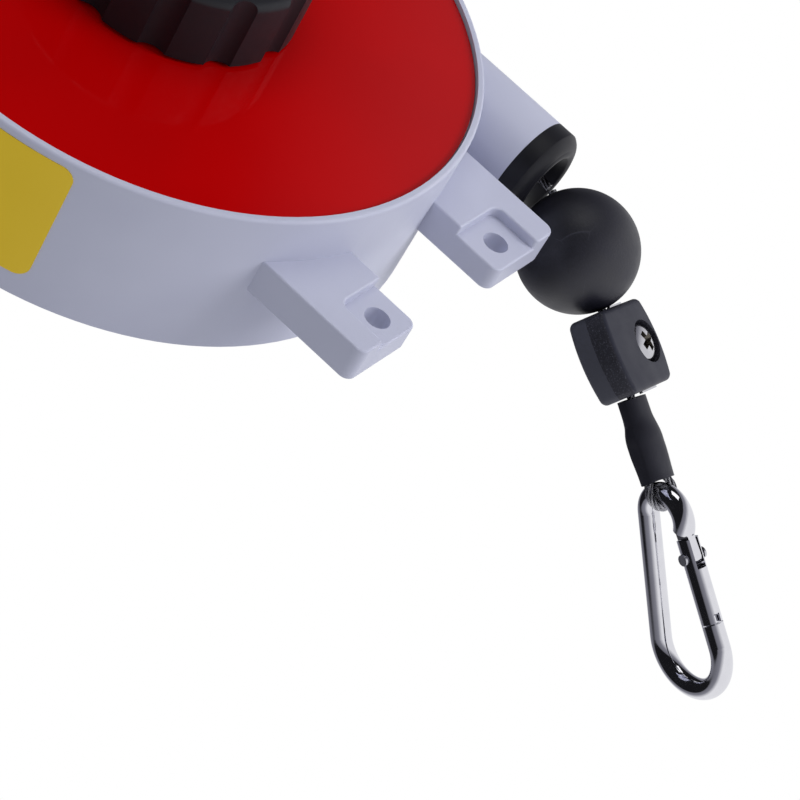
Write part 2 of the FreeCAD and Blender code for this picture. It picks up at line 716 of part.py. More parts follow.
def top_hook():
    """Round bar: shank, S bend to the side, then a bowl that ends in a rounded tip."""
    entry = math.radians(hook_entry_angle)
    foot = Vector(column_x, rope_plane_y, web_under - hook_bush_flange - moving_gap - hook_nut_height - 1)
    start = Vector(column_x, rope_plane_y, hook_start)
    centre = start - X_AXIS * hook_bend_radius
    middle = centre + Vector(math.cos(entry / 2), 0, math.sin(entry / 2)) * hook_bend_radius
    join = centre + Vector(math.cos(entry), 0, math.sin(entry)) * hook_bend_radius
    sweep_from = 180 + hook_entry_angle
    tip = hook_point(hook_bend_radius, -hook_tip_angle)
    path = [
        Part.LineSegment(foot, start).toShape(),
        Part.Arc(start, middle, join).toShape(),
        Part.Arc(join, hook_point(hook_bend_radius, (sweep_from - hook_tip_angle) / 2), tip).toShape(),
    ]
    bar = piped(path, hook_bar_radius, foot, Z_AXIS)
    collar = cyl_z(hook_collar_radius, collar_base, collar_base + hook_collar_height, column_x, rope_plane_y)
    collar = soften(collar, 0.8, lambda e: lies_on(e, "z", collar_base + hook_collar_height))
    hook = bar.multiFuse([collar, Part.makeSphere(hook_bar_radius, tip)])
    pin = Part.makeCylinder(latch_pin_radius, 4 * hook_bar_radius, latch_pivot() - Y_AXIS * 2 * hook_bar_radius, Y_AXIS)
    cotter = Part.makeCylinder(hook_pin_radius, 40, Vector(column_x - 20, rope_plane_y, cotter_height()), X_AXIS)
    return hook.cut(pin).cut(cotter)


def latch_pivot():
    return Vector(column_x, rope_plane_y, hook_start - hook_neck + latch_height / 2 + moving_gap)


def cotter_height():
    return web_under - hook_bush_flange - moving_gap - hook_nut_height * 0.7


def hook_bush():
    inner = hook_bar_radius + running_gap
    bush = cyl_z(inner + hook_bush_wall, web_under, column_top, column_x, rope_plane_y)
    flange = cyl_z(hook_bush_flange_radius, web_under - hook_bush_flange, web_under, column_x, rope_plane_y)
    return bush.fuse(flange).cut(cyl_z(inner, 0, column_top + 1, column_x, rope_plane_y))


def hook_nut():
    top = web_under - hook_bush_flange - moving_gap
    nut = hexagon(hook_nut_flats, hook_nut_height, Vector(column_x, rope_plane_y, top - hook_nut_height),
                  X_AXIS, Y_AXIS, Z_AXIS)
    nut = nut.cut(cyl_z(hook_bar_radius, 0, top + 1, column_x, rope_plane_y))
    hole = Part.makeCylinder(hook_pin_radius, 40, Vector(column_x - 20, rope_plane_y, cotter_height()), X_AXIS)
    return nut.cut(hole)


def hook_nut_pin():
    half = hook_nut_flats / math.sqrt(3)
    return Part.makeCylinder(hook_pin_radius, 2 * half, Vector(column_x - half, rope_plane_y, cotter_height()), X_AXIS)


def hook_latch():
    """Pressed steel latch: two cheeks beside the shank, joined by a tongue that closes on the tip."""
    pivot = latch_pivot()
    reach = hook_point(hook_bend_radius, -hook_tip_angle) - pivot
    length = reach.Length
    angle = math.degrees(math.atan2(reach.z, reach.x))
    half_in = hook_bar_radius + latch_cheek_gap
    half_out = half_in + latch_thickness
    nose = length - hook_bar_radius - latch_end_gap
    side = rounded_face(
        [(-latch_height / 2, -latch_height / 2, 2.4), (nose, -latch_height / 4, 0.5),
         (nose, latch_height / 4, 0.5), (-latch_height / 2, latch_height / 2, 2.4)],
        X_AXIS, Z_AXIS, Vector(0, -half_out, 0),
    ).extrude(Y_AXIS * 2 * half_out)
    hollow = block(-latch_height, nose - latch_thickness, -half_in, half_in, -latch_height, latch_height)
    web = block(latch_web_start, nose, -half_in, half_in, -latch_height / 2, latch_thickness - latch_height / 4)
    latch = side.cut(hollow.cut(web))
    latch = latch.cut(cyl_y(latch_pin_radius + running_gap, -2 * half_out, 2 * half_out))
    latch.rotate(Vector(0, 0, 0), Y_AXIS, -angle)
    latch.translate(pivot)
    return latch


def latch_pin():
    half = hook_bar_radius + latch_cheek_gap + latch_thickness + moving_gap
    pin = Part.makeCylinder(latch_pin_radius, 2 * half, latch_pivot() - Y_AXIS * half, Y_AXIS)
    head = Part.makeCylinder(latch_pin_radius + 0.9, 0.8, latch_pivot() - Y_AXIS * (half + 0.8), Y_AXIS)
    tail = Part.makeCylinder(latch_pin_radius + 0.9, 0.8, latch_pivot() + Y_AXIS * half, Y_AXIS)
    return pin.multiFuse([head, tail]).removeSplitter()


# ---- rope and rope end --------------------------------------------------------------------------
def rope_run():
    """Straight rope from the drum to the guide's throat; this is the stretch that grows."""
    turn_out = math.sqrt((rope_pitch_radius + rope_radius) ** 2 - rim_outer ** 2) + 2 * rope_radius
    return cyl_z(rope_radius, -nozzle_reach, -turn_out, column_x, rope_plane_y)


def rope_lead():
    """Last straight rope in the guide's mouth, rounded where the rope bends."""
    low = bend.z + rope_break + rope_radius
    lead = cyl_z(rope_radius, low, -nozzle_reach, column_x, rope_plane_y)
    return lead.fuse(Part.makeSphere(rope_radius, Vector(column_x, rope_plane_y, low)))


def rope_tail():
    """Rope through ball and clamp to the ferrule; it crosses the clamp at a slant."""
    top = down(bend, chain_tilt, rope_break + rope_radius)
    entry = down(bend, chain_tilt, clamp_top)
    foot = down(sleeve_start, sleeve_tilt, ferrule_drop)
    spots = [top, entry, rope_exit, foot]
    runs = [rope_length(first, last, rope_radius) for first, last in zip(spots, spots[1:])]
    balls = [Part.makeSphere(rope_radius, point) for point in spots[:-1]]
    tail = runs[0].multiFuse(runs[1:] + balls)
    reach = 2 * clamp_length
    beyond = block(-reach, reach, -reach, reach, -ferrule_drop - reach, -ferrule_drop)
    return tail.cut(posed(beyond, sleeve_pose)).removeSplitter()


def rope_length(first, last, radius):
    return Part.makeCylinder(radius, (last - first).Length, first, last - first)


def ball_stop():
    ball = Part.makeSphere(ball_radius, Vector(0, 0, -ball_drop))
    ball = ball.cut(cyl_z(rope_radius + ball_bore_gap, -ball_drop - ball_radius - 1, 0))
    return posed(ball, chain_pose)


def barrel(end, middle, across, depth_axis, depth):
    """Outline with straight ends and bowed sides, thickened both ways along depth_axis."""
    top = Vector(0, 0, -clamp_top)
    low = Vector(0, 0, -clamp_bottom)
    centre = Vector(0, 0, -(clamp_top + clamp_bottom) / 2)
    edges = [
        Part.LineSegment(top - across * (end / 2), top + across * (end / 2)).toShape(),
        Part.Arc(top + across * (end / 2), centre + across * (middle / 2), low + across * (end / 2)).toShape(),
        Part.LineSegment(low + across * (end / 2), low - across * (end / 2)).toShape(),
        Part.Arc(low - across * (end / 2), centre - across * (middle / 2), top - across * (end / 2)).toShape(),
    ]
    solid = Part.Face(Part.Wire(edges)).extrude(depth_axis * depth * 2)
    solid.translate(depth_axis * -depth)
    return solid


def clamp_blank():
    wide = barrel(clamp_width_end, clamp_width_middle, X_AXIS, Y_AXIS, clamp_depth_middle)
    deep = barrel(clamp_depth_end, clamp_depth_middle, Y_AXIS, X_AXIS, clamp_width_middle)
    blank = wide.common(deep)
    return blank.makeFillet(clamp_round, blank.Edges)


def clamp_screw_height():
    return -(clamp_top + clamp_screw_drop)


def clamp_seat():
    """Bottom of the counterbore, measured from the bowed front face."""
    return -clamp_depth_middle / 2 + clamp_bore_depth


def clamp_cuts():
    """What both halves leave free: screw, nut and the steel plate."""
    face = -clamp_depth_middle
    shank = cyl_y(clamp_screw_radius + fitting_gap, face, -face, clamp_screw_offset, clamp_screw_height())
    bore = cyl_y(clamp_bore_radius, face, clamp_seat(), clamp_screw_offset, clamp_screw_height())
    return shank.multiFuse([bore, plate_blank(fitting_gap), nut_blank(fitting_gap)])


def plate_blank(gap):
    near = clamp_plate_near - gap
    far = clamp_plate_far + gap
    low = -clamp_bottom - clamp_plate_proud - gap
    high = -clamp_top + clamp_plate_proud + gap
    cut = clamp_plate_chamfer
    thick = clamp_plate_thickness + 2 * gap
    return rounded_face(
        [(near, low, 0), (far, low, 0), (far, high, 0), (near + cut, high, 0), (near, high - cut, 0)],
        X_AXIS, Z_AXIS, Vector(0, clamp_split - thick / 2, 0),
    ).extrude(Y_AXIS * thick)


def nut_blank(gap):
    back = clamp_depth_middle / 2 - clamp_nut_cover
    base = Vector(clamp_screw_offset, back - clamp_nut_height - gap, clamp_screw_height())
    return hexagon(clamp_nut_flats + 2 * gap, clamp_nut_height + 2 * gap, base, X_AXIS, Z_AXIS, Y_AXIS)


def clamp_half(front):
    reach = 2 * clamp_length
    keep = block(-reach, reach, -reach, clamp_split, -clamp_bottom - reach, 0)
    blank = clamp_blank()
    half = blank.common(keep) if front else blank.cut(keep)
    half = posed(half.cut(clamp_cuts()), clamp_pose)
    entry = down(bend, chain_tilt, clamp_top)
    slant = (rope_exit - entry).normalize() * clamp_round
    return half.cut(rope_length(entry - slant, rope_exit + slant, rope_radius + fitting_gap))


def clamp_plate():
    hole = cyl_y(clamp_screw_radius + fitting_gap, -clamp_depth_middle, clamp_depth_middle,
                 clamp_screw_offset, clamp_screw_height())
    return posed(plate_blank(0).cut(hole), clamp_pose)


def clamp_screw():
    length = clamp_depth_middle / 2 - clamp_nut_cover - clamp_seat()
    screw = pan_screw(clamp_screw_radius, length, clamp_head_radius, clamp_head_height, clamp_recess_width,
                      clamp_recess_depth)
    screw.rotate(Vector(0, 0, 0), Z_AXIS, 180)
    screw.translate(Vector(clamp_screw_offset, clamp_seat(), clamp_screw_height()))
    return posed(screw, clamp_pose)


def clamp_nut():
    hole = cyl_y(clamp_screw_radius, -clamp_depth_middle, clamp_depth_middle,
                 clamp_screw_offset, clamp_screw_height())
    return posed(nut_blank(0).cut(hole), clamp_pose)


def oval(radius, drop, thin=0.0):
    """Oval section of the sleeve at a depth below its top."""
    major = radius - thin
    minor = radius * sleeve_flatness - thin
    curve = Part.Ellipse(Vector(major, 0, -drop), Vector(0, minor, -drop), Vector(0, 0, -drop))
    return Part.Wire(curve.toShape())


def sleeve_sections():
    return [
        (sleeve_top_radius, 0.0),
        (sleeve_top_radius + 0.15, sleeve_bulge_drop * 0.35),
        (sleeve_bulge_radius, sleeve_bulge_drop),
        (sleeve_bulge_radius - 0.1, sleeve_length * 0.75),
        (sleeve_end_radius, sleeve_length),
    ]


def shrink_sleeve():
    outer = Part.makeLoft([oval(radius, drop) for radius, drop in sleeve_sections()], True)
    inner = Part.makeLoft([oval(radius, drop, sleeve_wall) for radius, drop in sleeve_sections()], True)
    return posed(outer.cut(inner), sleeve_pose)


def ferrule():
    """Pressed oval ferrule that holds both legs of the eye, drawn inside the sleeve."""
    major = sleeve_bulge_radius - sleeve_wall - ferrule_gap
    minor = sleeve_bulge_radius * sleeve_flatness - sleeve_wall - ferrule_gap
    drop = ferrule_drop
    curve = Part.Ellipse(Vector(major, 0, -drop), Vector(0, minor, -drop), Vector(0, 0, -drop))
    solid = Part.Face(Part.Wire(curve.toShape())).extrude(Z_AXIS * -ferrule_length)
    return posed(solid, sleeve_pose)


def rope_eye():
    """Loop round the carabiner's top wire; both legs run up into the ferrule."""
    radius = wire_radius + eye_gap + rope_radius
    centre = -(sleeve_length + eye_drop)
    legs = -(ferrule_drop + ferrule_length)
    narrow = sleeve_end_radius - sleeve_wall - rope_radius - eye_side_gap
    flare = centre + eye_drop + eye_flare
    rise = flare - centre
    spread = (narrow ** 2 + rise ** 2 - radius ** 2) / (2 * (radius - narrow))
    tangent = math.atan2(rise, narrow + spread)
    right = Vector(radius * math.cos(tangent), 0, centre + radius * math.sin(tangent))
    swing = Vector(narrow + spread * (1 - math.cos(tangent / 2)), 0, flare - spread * math.sin(tangent / 2))
    path = [
        Part.LineSegment(Vector(-narrow, 0, legs), Vector(-narrow, 0, flare)).toShape(),
        Part.Arc(Vector(-narrow, 0, flare), Vector(-swing.x, 0, swing.z), Vector(-right.x, 0, right.z)).toShape(),
        Part.Arc(Vector(-right.x, 0, right.z), Vector(0, 0, centre - radius), right).toShape(),
        Part.Arc(right, swing, Vector(narrow, 0, flare)).toShape(),
        Part.LineSegment(Vector(narrow, 0, flare), Vector(narrow, 0, legs)).toShape(),
    ]
    loop = piped(path, rope_radius, Vector(-narrow, 0, legs), Z_AXIS * -1)
    return posed(loop, sleeve_pose)


# ---- carabiner: drawn hanging from its top wire, gate to the front ------------------------------
def carabiner_frame():
    """Bend centres, tangent directions and the gate's line, as (along, forward) from the top wire."""
    return Vector(0, 0, -top_bend_radius), Vector(0, 0, -top_bend_radius - bend_distance)


def flank(top, bottom, side):
    """Tangent line of both bends on one side: side 1 is the front, -1 the back."""
    lean = math.asin((bottom_bend_radius - top_bend_radius) / bend_distance)
    normal = Vector(0, -side * math.cos(lean), math.sin(lean))
    return top + normal * top_bend_radius, bottom + normal * bottom_bend_radius


def gate_line():
    """Start and end of the gate's centre line."""
    top, bottom = carabiner_frame()
    end = flank(top, bottom, 1)[1]
    start = Vector(0, -gate_root, -gate_start)
    direction = (end - start).normalize()
    return start, start + direction * gate_length, direction


def carabiner_body():
    top, bottom = carabiner_frame()
    back_top, back_low = flank(top, bottom, -1)
    start, end, direction = gate_line()
    nose = end + direction * moving_gap
    reach = bottom - nose
    lean = math.acos(bottom_bend_radius / reach.Length)
    touch_angle = math.atan2(-reach.z, -reach.y) + lean
    touch = bottom + Vector(0, math.cos(touch_angle), math.sin(touch_angle)) * bottom_bend_radius
    finish = math.radians(180 - top_bend_end) + math.radians(2 * top_bend_end)
    curl = top + Vector(0, math.cos(finish), math.sin(finish)) * top_bend_radius
    path = [
        Part.LineSegment(nose, touch).toShape(),
        Part.Arc(touch, bottom - Z_AXIS * bottom_bend_radius, back_low).toShape(),
        Part.LineSegment(back_low, back_top).toShape(),
        Part.Arc(back_top, top + Z_AXIS * top_bend_radius, curl).toShape(),
    ]
    bar = piped(path, wire_radius, nose, touch - nose)
    rivet = rivet_point()
    half = tongue_thickness / 2
    eye = Part.makeCylinder(tongue_eye_radius, tongue_thickness, rivet - X_AXIS * half, X_AXIS)
    side = direction.cross(X_AXIS).normalize() * tongue_eye_radius
    strip = Part.Face(Part.makePolygon([curl + side, rivet + side, rivet - side, curl - side, curl + side]))
    tongue = strip.extrude(X_AXIS * tongue_thickness)
    tongue.translate(X_AXIS * -half)
    tab_half = nose_tab_thickness / 2
    tab = Part.makeBox(nose_tab_thickness, 3.0, nose_tab_length + 0.5)
    tab.translate(Vector(-tab_half, -1.5, -0.5))
    tab.Placement = Placement(nose, Rotation(Z_AXIS, direction * -1)).multiply(tab.Placement)
    body = bar.multiFuse([eye, tongue, tab]).cut(rivet_bar(fitting_gap / 2))
    return posed(body.removeSplitter(), carabiner_pose)


def rivet_point():
    start, _, direction = gate_line()
    return start + direction * rivet_drop


def rivet_bar(gap):
    half = wire_radius + moving_gap
    return Part.makeCylinder(rivet_radius + gap, 2 * half, rivet_point() - X_AXIS * half, X_AXIS)


def gate_rivet():
    half = wire_radius + moving_gap / 3
    centre = rivet_point()
    pin = Part.makeCylinder(rivet_radius, 2 * half, centre - X_AXIS * half, X_AXIS)
    height = rivet_head_height
    near = Part.makeCylinder(rivet_head_radius, height, centre - X_AXIS * (half + height), X_AXIS)
    far = Part.makeCylinder(rivet_head_radius, height, centre + X_AXIS * half, X_AXIS)
    return posed(pin.multiFuse([near, far]).removeSplitter(), carabiner_pose)


def carabiner_gate():
    start, end, direction = gate_line()
    gate = Part.makeCylinder(wire_radius, gate_length, start, direction)
    turn = Rotation(Z_AXIS, direction * -1)
    slot_half = tongue_thickness / 2 + cheek_gap
    slot = Part.makeBox(2 * slot_half, 8 * wire_radius, gate_slot_drop + 2)
    slot.translate(Vector(-slot_half, -4 * wire_radius, -gate_slot_drop))
    slot.Placement = Placement(start, turn).multiply(slot.Placement)
    tab_half = nose_tab_thickness / 2 + cheek_gap
    notch = Part.makeBox(2 * tab_half, 8 * wire_radius, nose_tab_length + cheek_gap + 2)
    notch.translate(Vector(-tab_half, -4 * wire_radius, -2))
    notch.Placement = Placement(end, turn).multiply(notch.Placement)
    spring_hole = Part.makeCylinder(gate_spring_radius + cheek_gap / 2, gate_spring_length, start
                                    + direction * gate_slot_drop, direction)
    rivet_hole = Part.makeCylinder(rivet_radius + running_gap, 20, rivet_point() - X_AXIS * 10, X_AXIS)
    gate = gate.cut(slot).cut(notch).cut(spring_hole).cut(rivet_hole)
    return posed(gate, carabiner_pose)


def gate_spring():
    start, _, direction = gate_line()
    first = rivet_drop + tongue_eye_radius + moving_gap
    length = gate_slot_drop + gate_spring_length - first
    spring = Part.makeCylinder(gate_spring_radius, length, start + direction * first, direction)
    return posed(spring, carabiner_pose)


PIECES = {
    "housing": housing,
    "back_cover": back_cover,
    "cover_screws": cover_screws,
    "face_plate": face_plate,
    "side_sticker": side_sticker,
    "cable_guide": cable_guide,
    "front_bush": front_bush,
    "rear_bush": rear_bush,
    "friction_washer": friction_washer,
    "cable_drum": cable_drum,
    "drum_cover": drum_cover,
    "drum_cover_screws": drum_cover_screws,
    "drum_bushes": drum_bushes,
    "rope_winding": rope_winding,
    "rope_nipple": rope_nipple,
    "mainspring": mainspring,
    "spring_arbor": spring_arbor,
    "arbor_clip": arbor_clip,
    "tension_knob": tension_knob,
    "knob_screw": knob_screw,
    "top_hook": top_hook,
    "hook_bush": hook_bush,
    "hook_nut": hook_nut,
    "hook_nut_pin": hook_nut_pin,
    "hook_latch": hook_latch,
    "latch_pin": latch_pin,
    "rope_run": rope_run,
    "rope_lead": rope_lead,
    "rope_tail": rope_tail,
    "ball_stop": ball_stop,
    "clamp_front_half": lambda: clamp_half(True),
    "clamp_rear_half": lambda: clamp_half(False),
    "clamp_plate": clamp_plate,
    "clamp_screw": clamp_screw,
    "clamp_nut": clamp_nut,
    "shrink_sleeve": shrink_sleeve,
    "ferrule": ferrule,
    "rope_eye": rope_eye,
    "carabiner_body": carabiner_body,
    "gate_rivet": gate_rivet,
    "carabiner_gate": carabiner_gate,
    "gate_spring": gate_spring,
}

os.makedirs("parts", exist_ok=True)
for name, make in PIECES.items():
    shape = make()
    shape.translate(hook_seat * -1)
    print(name, shape.ShapeType, len(shape.Solids), "valid" if shape.isValid() else "NOT VALID", round(shape.Volume, 1))
    shape.exportStep("parts/" + name + ".step")
print("drum axis", (hook_seat * -1), "rope bend", bend - hook_seat, "eye", eye_point - hook_seat)
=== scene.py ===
# %% [markdown]
# # A spring tool balancer, dressed
# A tool balancer hangs over a workbench and carries a hand tool on a wire rope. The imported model
# already holds every rigid piece at its real size. This lesson gives each of them the surface that
# it has on the real object, remakes the few pieces whose look is in their fine shape, such as the
# twisted rope, and sets a camera and soft studio lamps.

# %% Load the frame
import bmesh
import bpy
import json
import math
from mathutils import Matrix, Vector

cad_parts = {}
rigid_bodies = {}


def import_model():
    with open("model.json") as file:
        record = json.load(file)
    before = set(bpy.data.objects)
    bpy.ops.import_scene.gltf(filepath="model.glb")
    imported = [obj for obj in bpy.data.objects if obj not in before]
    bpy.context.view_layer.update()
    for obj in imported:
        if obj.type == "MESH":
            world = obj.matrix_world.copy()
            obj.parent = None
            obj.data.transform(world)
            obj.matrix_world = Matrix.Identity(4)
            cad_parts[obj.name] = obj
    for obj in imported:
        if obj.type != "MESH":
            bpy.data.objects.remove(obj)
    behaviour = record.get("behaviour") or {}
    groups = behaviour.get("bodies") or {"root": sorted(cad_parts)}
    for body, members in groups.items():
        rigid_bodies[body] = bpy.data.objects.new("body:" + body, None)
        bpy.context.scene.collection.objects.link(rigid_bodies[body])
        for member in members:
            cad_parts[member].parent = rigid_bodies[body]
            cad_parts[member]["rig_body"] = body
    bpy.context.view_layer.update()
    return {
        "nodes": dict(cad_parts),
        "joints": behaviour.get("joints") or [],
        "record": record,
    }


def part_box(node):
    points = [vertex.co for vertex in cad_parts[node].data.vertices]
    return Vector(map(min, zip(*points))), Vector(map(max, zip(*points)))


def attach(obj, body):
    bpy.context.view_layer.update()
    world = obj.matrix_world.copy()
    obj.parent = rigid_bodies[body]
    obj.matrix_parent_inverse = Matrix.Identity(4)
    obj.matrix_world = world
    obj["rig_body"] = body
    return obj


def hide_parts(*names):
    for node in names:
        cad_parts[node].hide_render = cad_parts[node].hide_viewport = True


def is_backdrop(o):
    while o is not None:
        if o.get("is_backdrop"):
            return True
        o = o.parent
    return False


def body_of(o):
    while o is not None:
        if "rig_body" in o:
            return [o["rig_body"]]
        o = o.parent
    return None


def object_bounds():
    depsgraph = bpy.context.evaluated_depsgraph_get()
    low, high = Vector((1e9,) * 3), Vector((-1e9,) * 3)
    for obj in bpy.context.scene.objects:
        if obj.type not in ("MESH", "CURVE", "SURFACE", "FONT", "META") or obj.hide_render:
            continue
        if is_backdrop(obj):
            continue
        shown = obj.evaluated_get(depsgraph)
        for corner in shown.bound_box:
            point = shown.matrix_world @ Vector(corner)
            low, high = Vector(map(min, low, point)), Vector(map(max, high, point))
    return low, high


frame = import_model()
nodes = frame["nodes"]
MM = 0.001


def middle(node):
    """Centre of a node's box."""
    low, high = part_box(node)
    return (Vector(low) + Vector(high)) / 2


# %% [markdown]
# ## Small helpers for colour and nodes
# Colours are written the way a paint chip is read, as sRGB hex values. Shaders work in linear light,
# so one function turns the first into the second. A second function adds a shader node, sets its
# values and links its inputs in one line. The others name the patterns that every surface repeats:
# a noise of a given size in millimetres, a ramp, a drift of colour or roughness, and a fine relief.

# %% Colour and node helpers
def linear(code):
    """sRGB hex colour to linear RGBA."""
    parts = [int(code[i:i + 2], 16) / 255 for i in (1, 3, 5)]
    return [p / 12.92 if p <= 0.04045 else ((p + 0.055) / 1.055) ** 2.4 for p in parts] + [1.0]


def add(tree, kind, settings=None, **links):
    """A node with its settings; inputs take a value, or a socket to link from."""
    node = tree.nodes.new("ShaderNode" + kind)
    for key, value in (settings or {}).items():
        setattr(node, key, value)
    for key, value in links.items():
        name = key.replace("_", " ")
        socket = node.inputs[int(key[1:])] if key[0] == "i" and key[1:].isdigit() else node.inputs[name]
        if isinstance(value, bpy.types.NodeSocket):
            tree.links.new(value, socket)
        else:
            socket.default_value = value
    return node


def start_material(name, colour, roughness, metallic=0.0, **more):
    """A principled material, its tree and its shader; uniform values sit on the shader's own sockets."""
    material = bpy.data.materials.new(name)
    material.use_nodes = True
    tree = material.node_tree
    shader = tree.nodes["Principled BSDF"]
    shader.inputs["Base Color"].default_value = linear(colour)
    shader.inputs["Roughness"].default_value = roughness
    shader.inputs["Metallic"].default_value = metallic
    for key, value in more.items():
        shader.inputs[key.replace("_", " ")].default_value = value
    return material, tree, shader


def object_place(tree, scale=(1, 1, 1)):
    """Object coordinates, in metres, stretched by scale."""
    place = add(tree, "TexCoord").outputs["Object"]
    return add(tree, "Mapping", i0=place, Scale=scale).outputs[0]


def noise(tree, place, period_mm, detail=3.0, roughness=0.55):
    """Grey noise whose lumps are about period_mm apart."""
    node = add(tree, "TexNoise", Vector=place, Scale=1000.0 / period_mm, Detail=detail, Roughness=roughness)
    return node.outputs["Fac"]


def ramp(tree, factor, low, high, first, last):
    """Two-colour ramp between two places of a factor."""
    node = add(tree, "ValToRGB", Fac=factor)
    ends = node.color_ramp.elements
    ends[0].position, ends[0].color = low, first
    ends[1].position, ends[1].color = high, last
    return node.outputs["Color"]


def level(tree, factor, low, high, first, last):
    """A number that runs from first to last while the factor runs from low to high."""
    node = add(tree, "MapRange", Value=factor, From_Min=low, From_Max=high, To_Min=first, To_Max=last)
    return node.outputs[0]


def bump(tree, shader, height, depth_mm):
    """Surface relief of a height pattern, depth_mm high."""
    node = add(tree, "Bump", Height=height, Distance=depth_mm * MM, Strength=1.0)
    tree.links.new(node.outputs["Normal"], shader.inputs["Normal"])


def colour_drift(tree, shader, pattern, low, high, dark, light):
    """Base colour that runs from dark to light while the pattern runs from low to high."""
    tones = ramp(tree, pattern, low, high, linear(dark), linear(light))
    tree.links.new(tones, shader.inputs["Base Color"])


def roughness_drift(tree, shader, pattern, first, last):
    """Roughness that runs from first to last with a pattern."""
    tree.links.new(level(tree, pattern, 0.3, 0.7, first, last), shader.inputs["Roughness"])


# %% [markdown]
# ## Moulded plastics
# The housing is a light blue-grey ABS, moulded in a finely eroded tool, so it is satin with a grain of
# a few tenths of a millimetre. The knob, the rope guide and the clamp are black nylon. The clamp's
# tool was eroded more coarsely, which gives it the speckled sides. All of them share one recipe: a
# base colour that drifts slightly, a roughness that drifts with it, and a fine grain in the relief.

# %% Plastics
cloud_mm = 34.0
wear_mm = 5.0


def moulded(name, light, dark, roughness, grain_mm, grain_depth_mm, specular=0.5):
    """Moulded plastic: slow clouds of colour, patches of wear and a fine grain."""
    material, tree, shader = start_material(name, light, roughness, Specular_IOR_Level=specular)
    place = object_place(tree)
    colour_drift(tree, shader, noise(tree, place, cloud_mm, 2.0), 0.35, 0.65, dark, light)
    roughness_drift(tree, shader, noise(tree, place, wear_mm, 4.0), roughness - 0.04, roughness + 0.06)
    bump(tree, shader, noise(tree, place, grain_mm, 2.0, 0.6), grain_depth_mm)
    return material


finishes = {}
finishes["housing_plastic"] = moulded("blue_grey_abs", "#C3C5D8", "#BDBFD3", 0.45, 0.5, 0.012)
finishes["black_plastic"] = moulded("black_nylon", "#1A1A20", "#15151A", 0.48, 0.4, 0.008, 0.35)
finishes["clamp_plastic"] = moulded("smooth_black_nylon", "#2B2C39", "#252632", 0.50, 0.35, 0.010, 0.4)
finishes["shrink_plastic"] = moulded("heat_shrink_tube", "#23232E", "#1D1D27", 0.48, 1.1, 0.020, 0.5)

# %% [markdown]
# ## Two more black surfaces
# The clamp's rear half is paler nylon. Its front half comes from a cavity that was polished on the
# front and left as eroded on the sides, where fine lighter specks are painted highlights: glints of light
# on the crests of the grain, painted into the colour. The ball is moulded rubber with scuffs: broken
# hairlines, drawn as the edges of large Voronoi cells that show only where a second noise lets them.

# %% Eroded nylon with painted glints, and scuffed rubber
glint_speck_mm = 0.32
scuff_tone = linear("#3A3A46")


def eroded(name, light, dark, glint_colour):
    """Nylon with bright specks on the sides of the clamp's front half; the specks are painted glints of light
    on the grain's crests.
    """
    material, tree, shader = start_material(name, light, 0.50, Specular_IOR_Level=0.4)
    place = object_place(tree)
    # The specks are painted highlights: a lighter colour where crests of the grain would catch the light.
    painted_glints = level(tree, noise(tree, place, glint_speck_mm, 2.0, 0.8), 0.54, 0.72, 0.0, 1.0)
    drift = noise(tree, place, 9.0, 2.0)
    base = ramp(tree, drift, 0.35, 0.65, linear(dark), linear(light))
    mixed = add(tree, "MixRGB", Fac=painted_glints, Color1=base, Color2=linear(glint_colour))
    tree.links.new(mixed.outputs[0], shader.inputs["Base Color"])
    bump(tree, shader, noise(tree, place, 0.45, 3.0, 0.8), 0.04)
    return material


def scuffed(name, light, dark, line_mm, cell_mm):
    """Rubber with faint broken hairlines."""
    material, tree, shader = start_material(name, light, 0.50, Specular_IOR_Level=0.7)
    place = object_place(tree)
    cells = add(tree, "TexVoronoi", {"feature": "DISTANCE_TO_EDGE"}, Vector=place, Scale=1000.0 / cell_mm)
    line = level(tree, cells.outputs["Distance"], 0.0, line_mm / cell_mm, 0.5, 0.0)
    shown = level(tree, noise(tree, place, 11.0, 1.0), 0.52, 0.58, 0.0, 1.0)
    scuff = add(tree, "Math", {"operation": "MULTIPLY"}, i0=line, i1=shown).outputs[0]
    drift = noise(tree, place, 7.0, 4.0)
    base = ramp(tree, drift, 0.3, 0.7, linear(dark), linear(light))
    mixed = add(tree, "MixRGB", Fac=scuff, Color1=base, Color2=scuff_tone)
    tree.links.new(mixed.outputs[0], shader.inputs["Base Color"])
    roughness_drift(tree, shader, drift, 0.44, 0.58)
    grain = add(tree, "Math", {"operation": "ADD"}, i0=noise(tree, place, 0.6, 2.0), i1=scuff).outputs[0]
    bump(tree, shader, grain, 0.03)
    return material


# The front half's sides: eroded nylon with painted glint specks.
side_nylon = eroded("eroded_nylon_with_painted_glints", "#2B2B34", "#25252D", "#555560")
rear_nylon = moulded("pale_black_nylon", "#474853", "#3F404A", 0.52, 0.9, 0.015, 0.5)
finishes["black_rubber"] = scuffed("scuffed_black_rubber", "#1D1D29", "#181822", 0.16, 15.0)

# %% [markdown]
# ## The face plate and the sticker
# The face plate is a disc of printed polycarbonate: a deep red under a clear gloss, which mirrors the
# black knob in front of it. A coat layer over a red base gives that. The sticker on the side wall is a
# bare yellow vinyl film. Both are flat on a real part, so their relief is only a faint orange peel.

# %% Gloss films
film_cloud_mm = 45.0
peel_width_mm = 6.0


def film(name, colour, deep, coat, peel_mm):
    """Printed film under a clear coat, which alone gives its gloss."""
    material, tree, shader = start_material(
        name, colour, 0.40, Coat_Weight=coat, Coat_Roughness=0.06, Specular_IOR_Level=0.0
    )
    place = object_place(tree)
    colour_drift(tree, shader, noise(tree, place, film_cloud_mm, 2.0), 0.3, 0.7, deep, colour)
    bump(tree, shader, noise(tree, place, peel_width_mm, 1.0), peel_mm)
    return material


finishes["red_gloss"] = film("red_polycarbonate", "#BC0002", "#B20002", 1.0, 0.006)
finishes["yellow_film"] = film("yellow_vinyl", "#F2CE3A", "#EBC636", 0.3, 0.010)

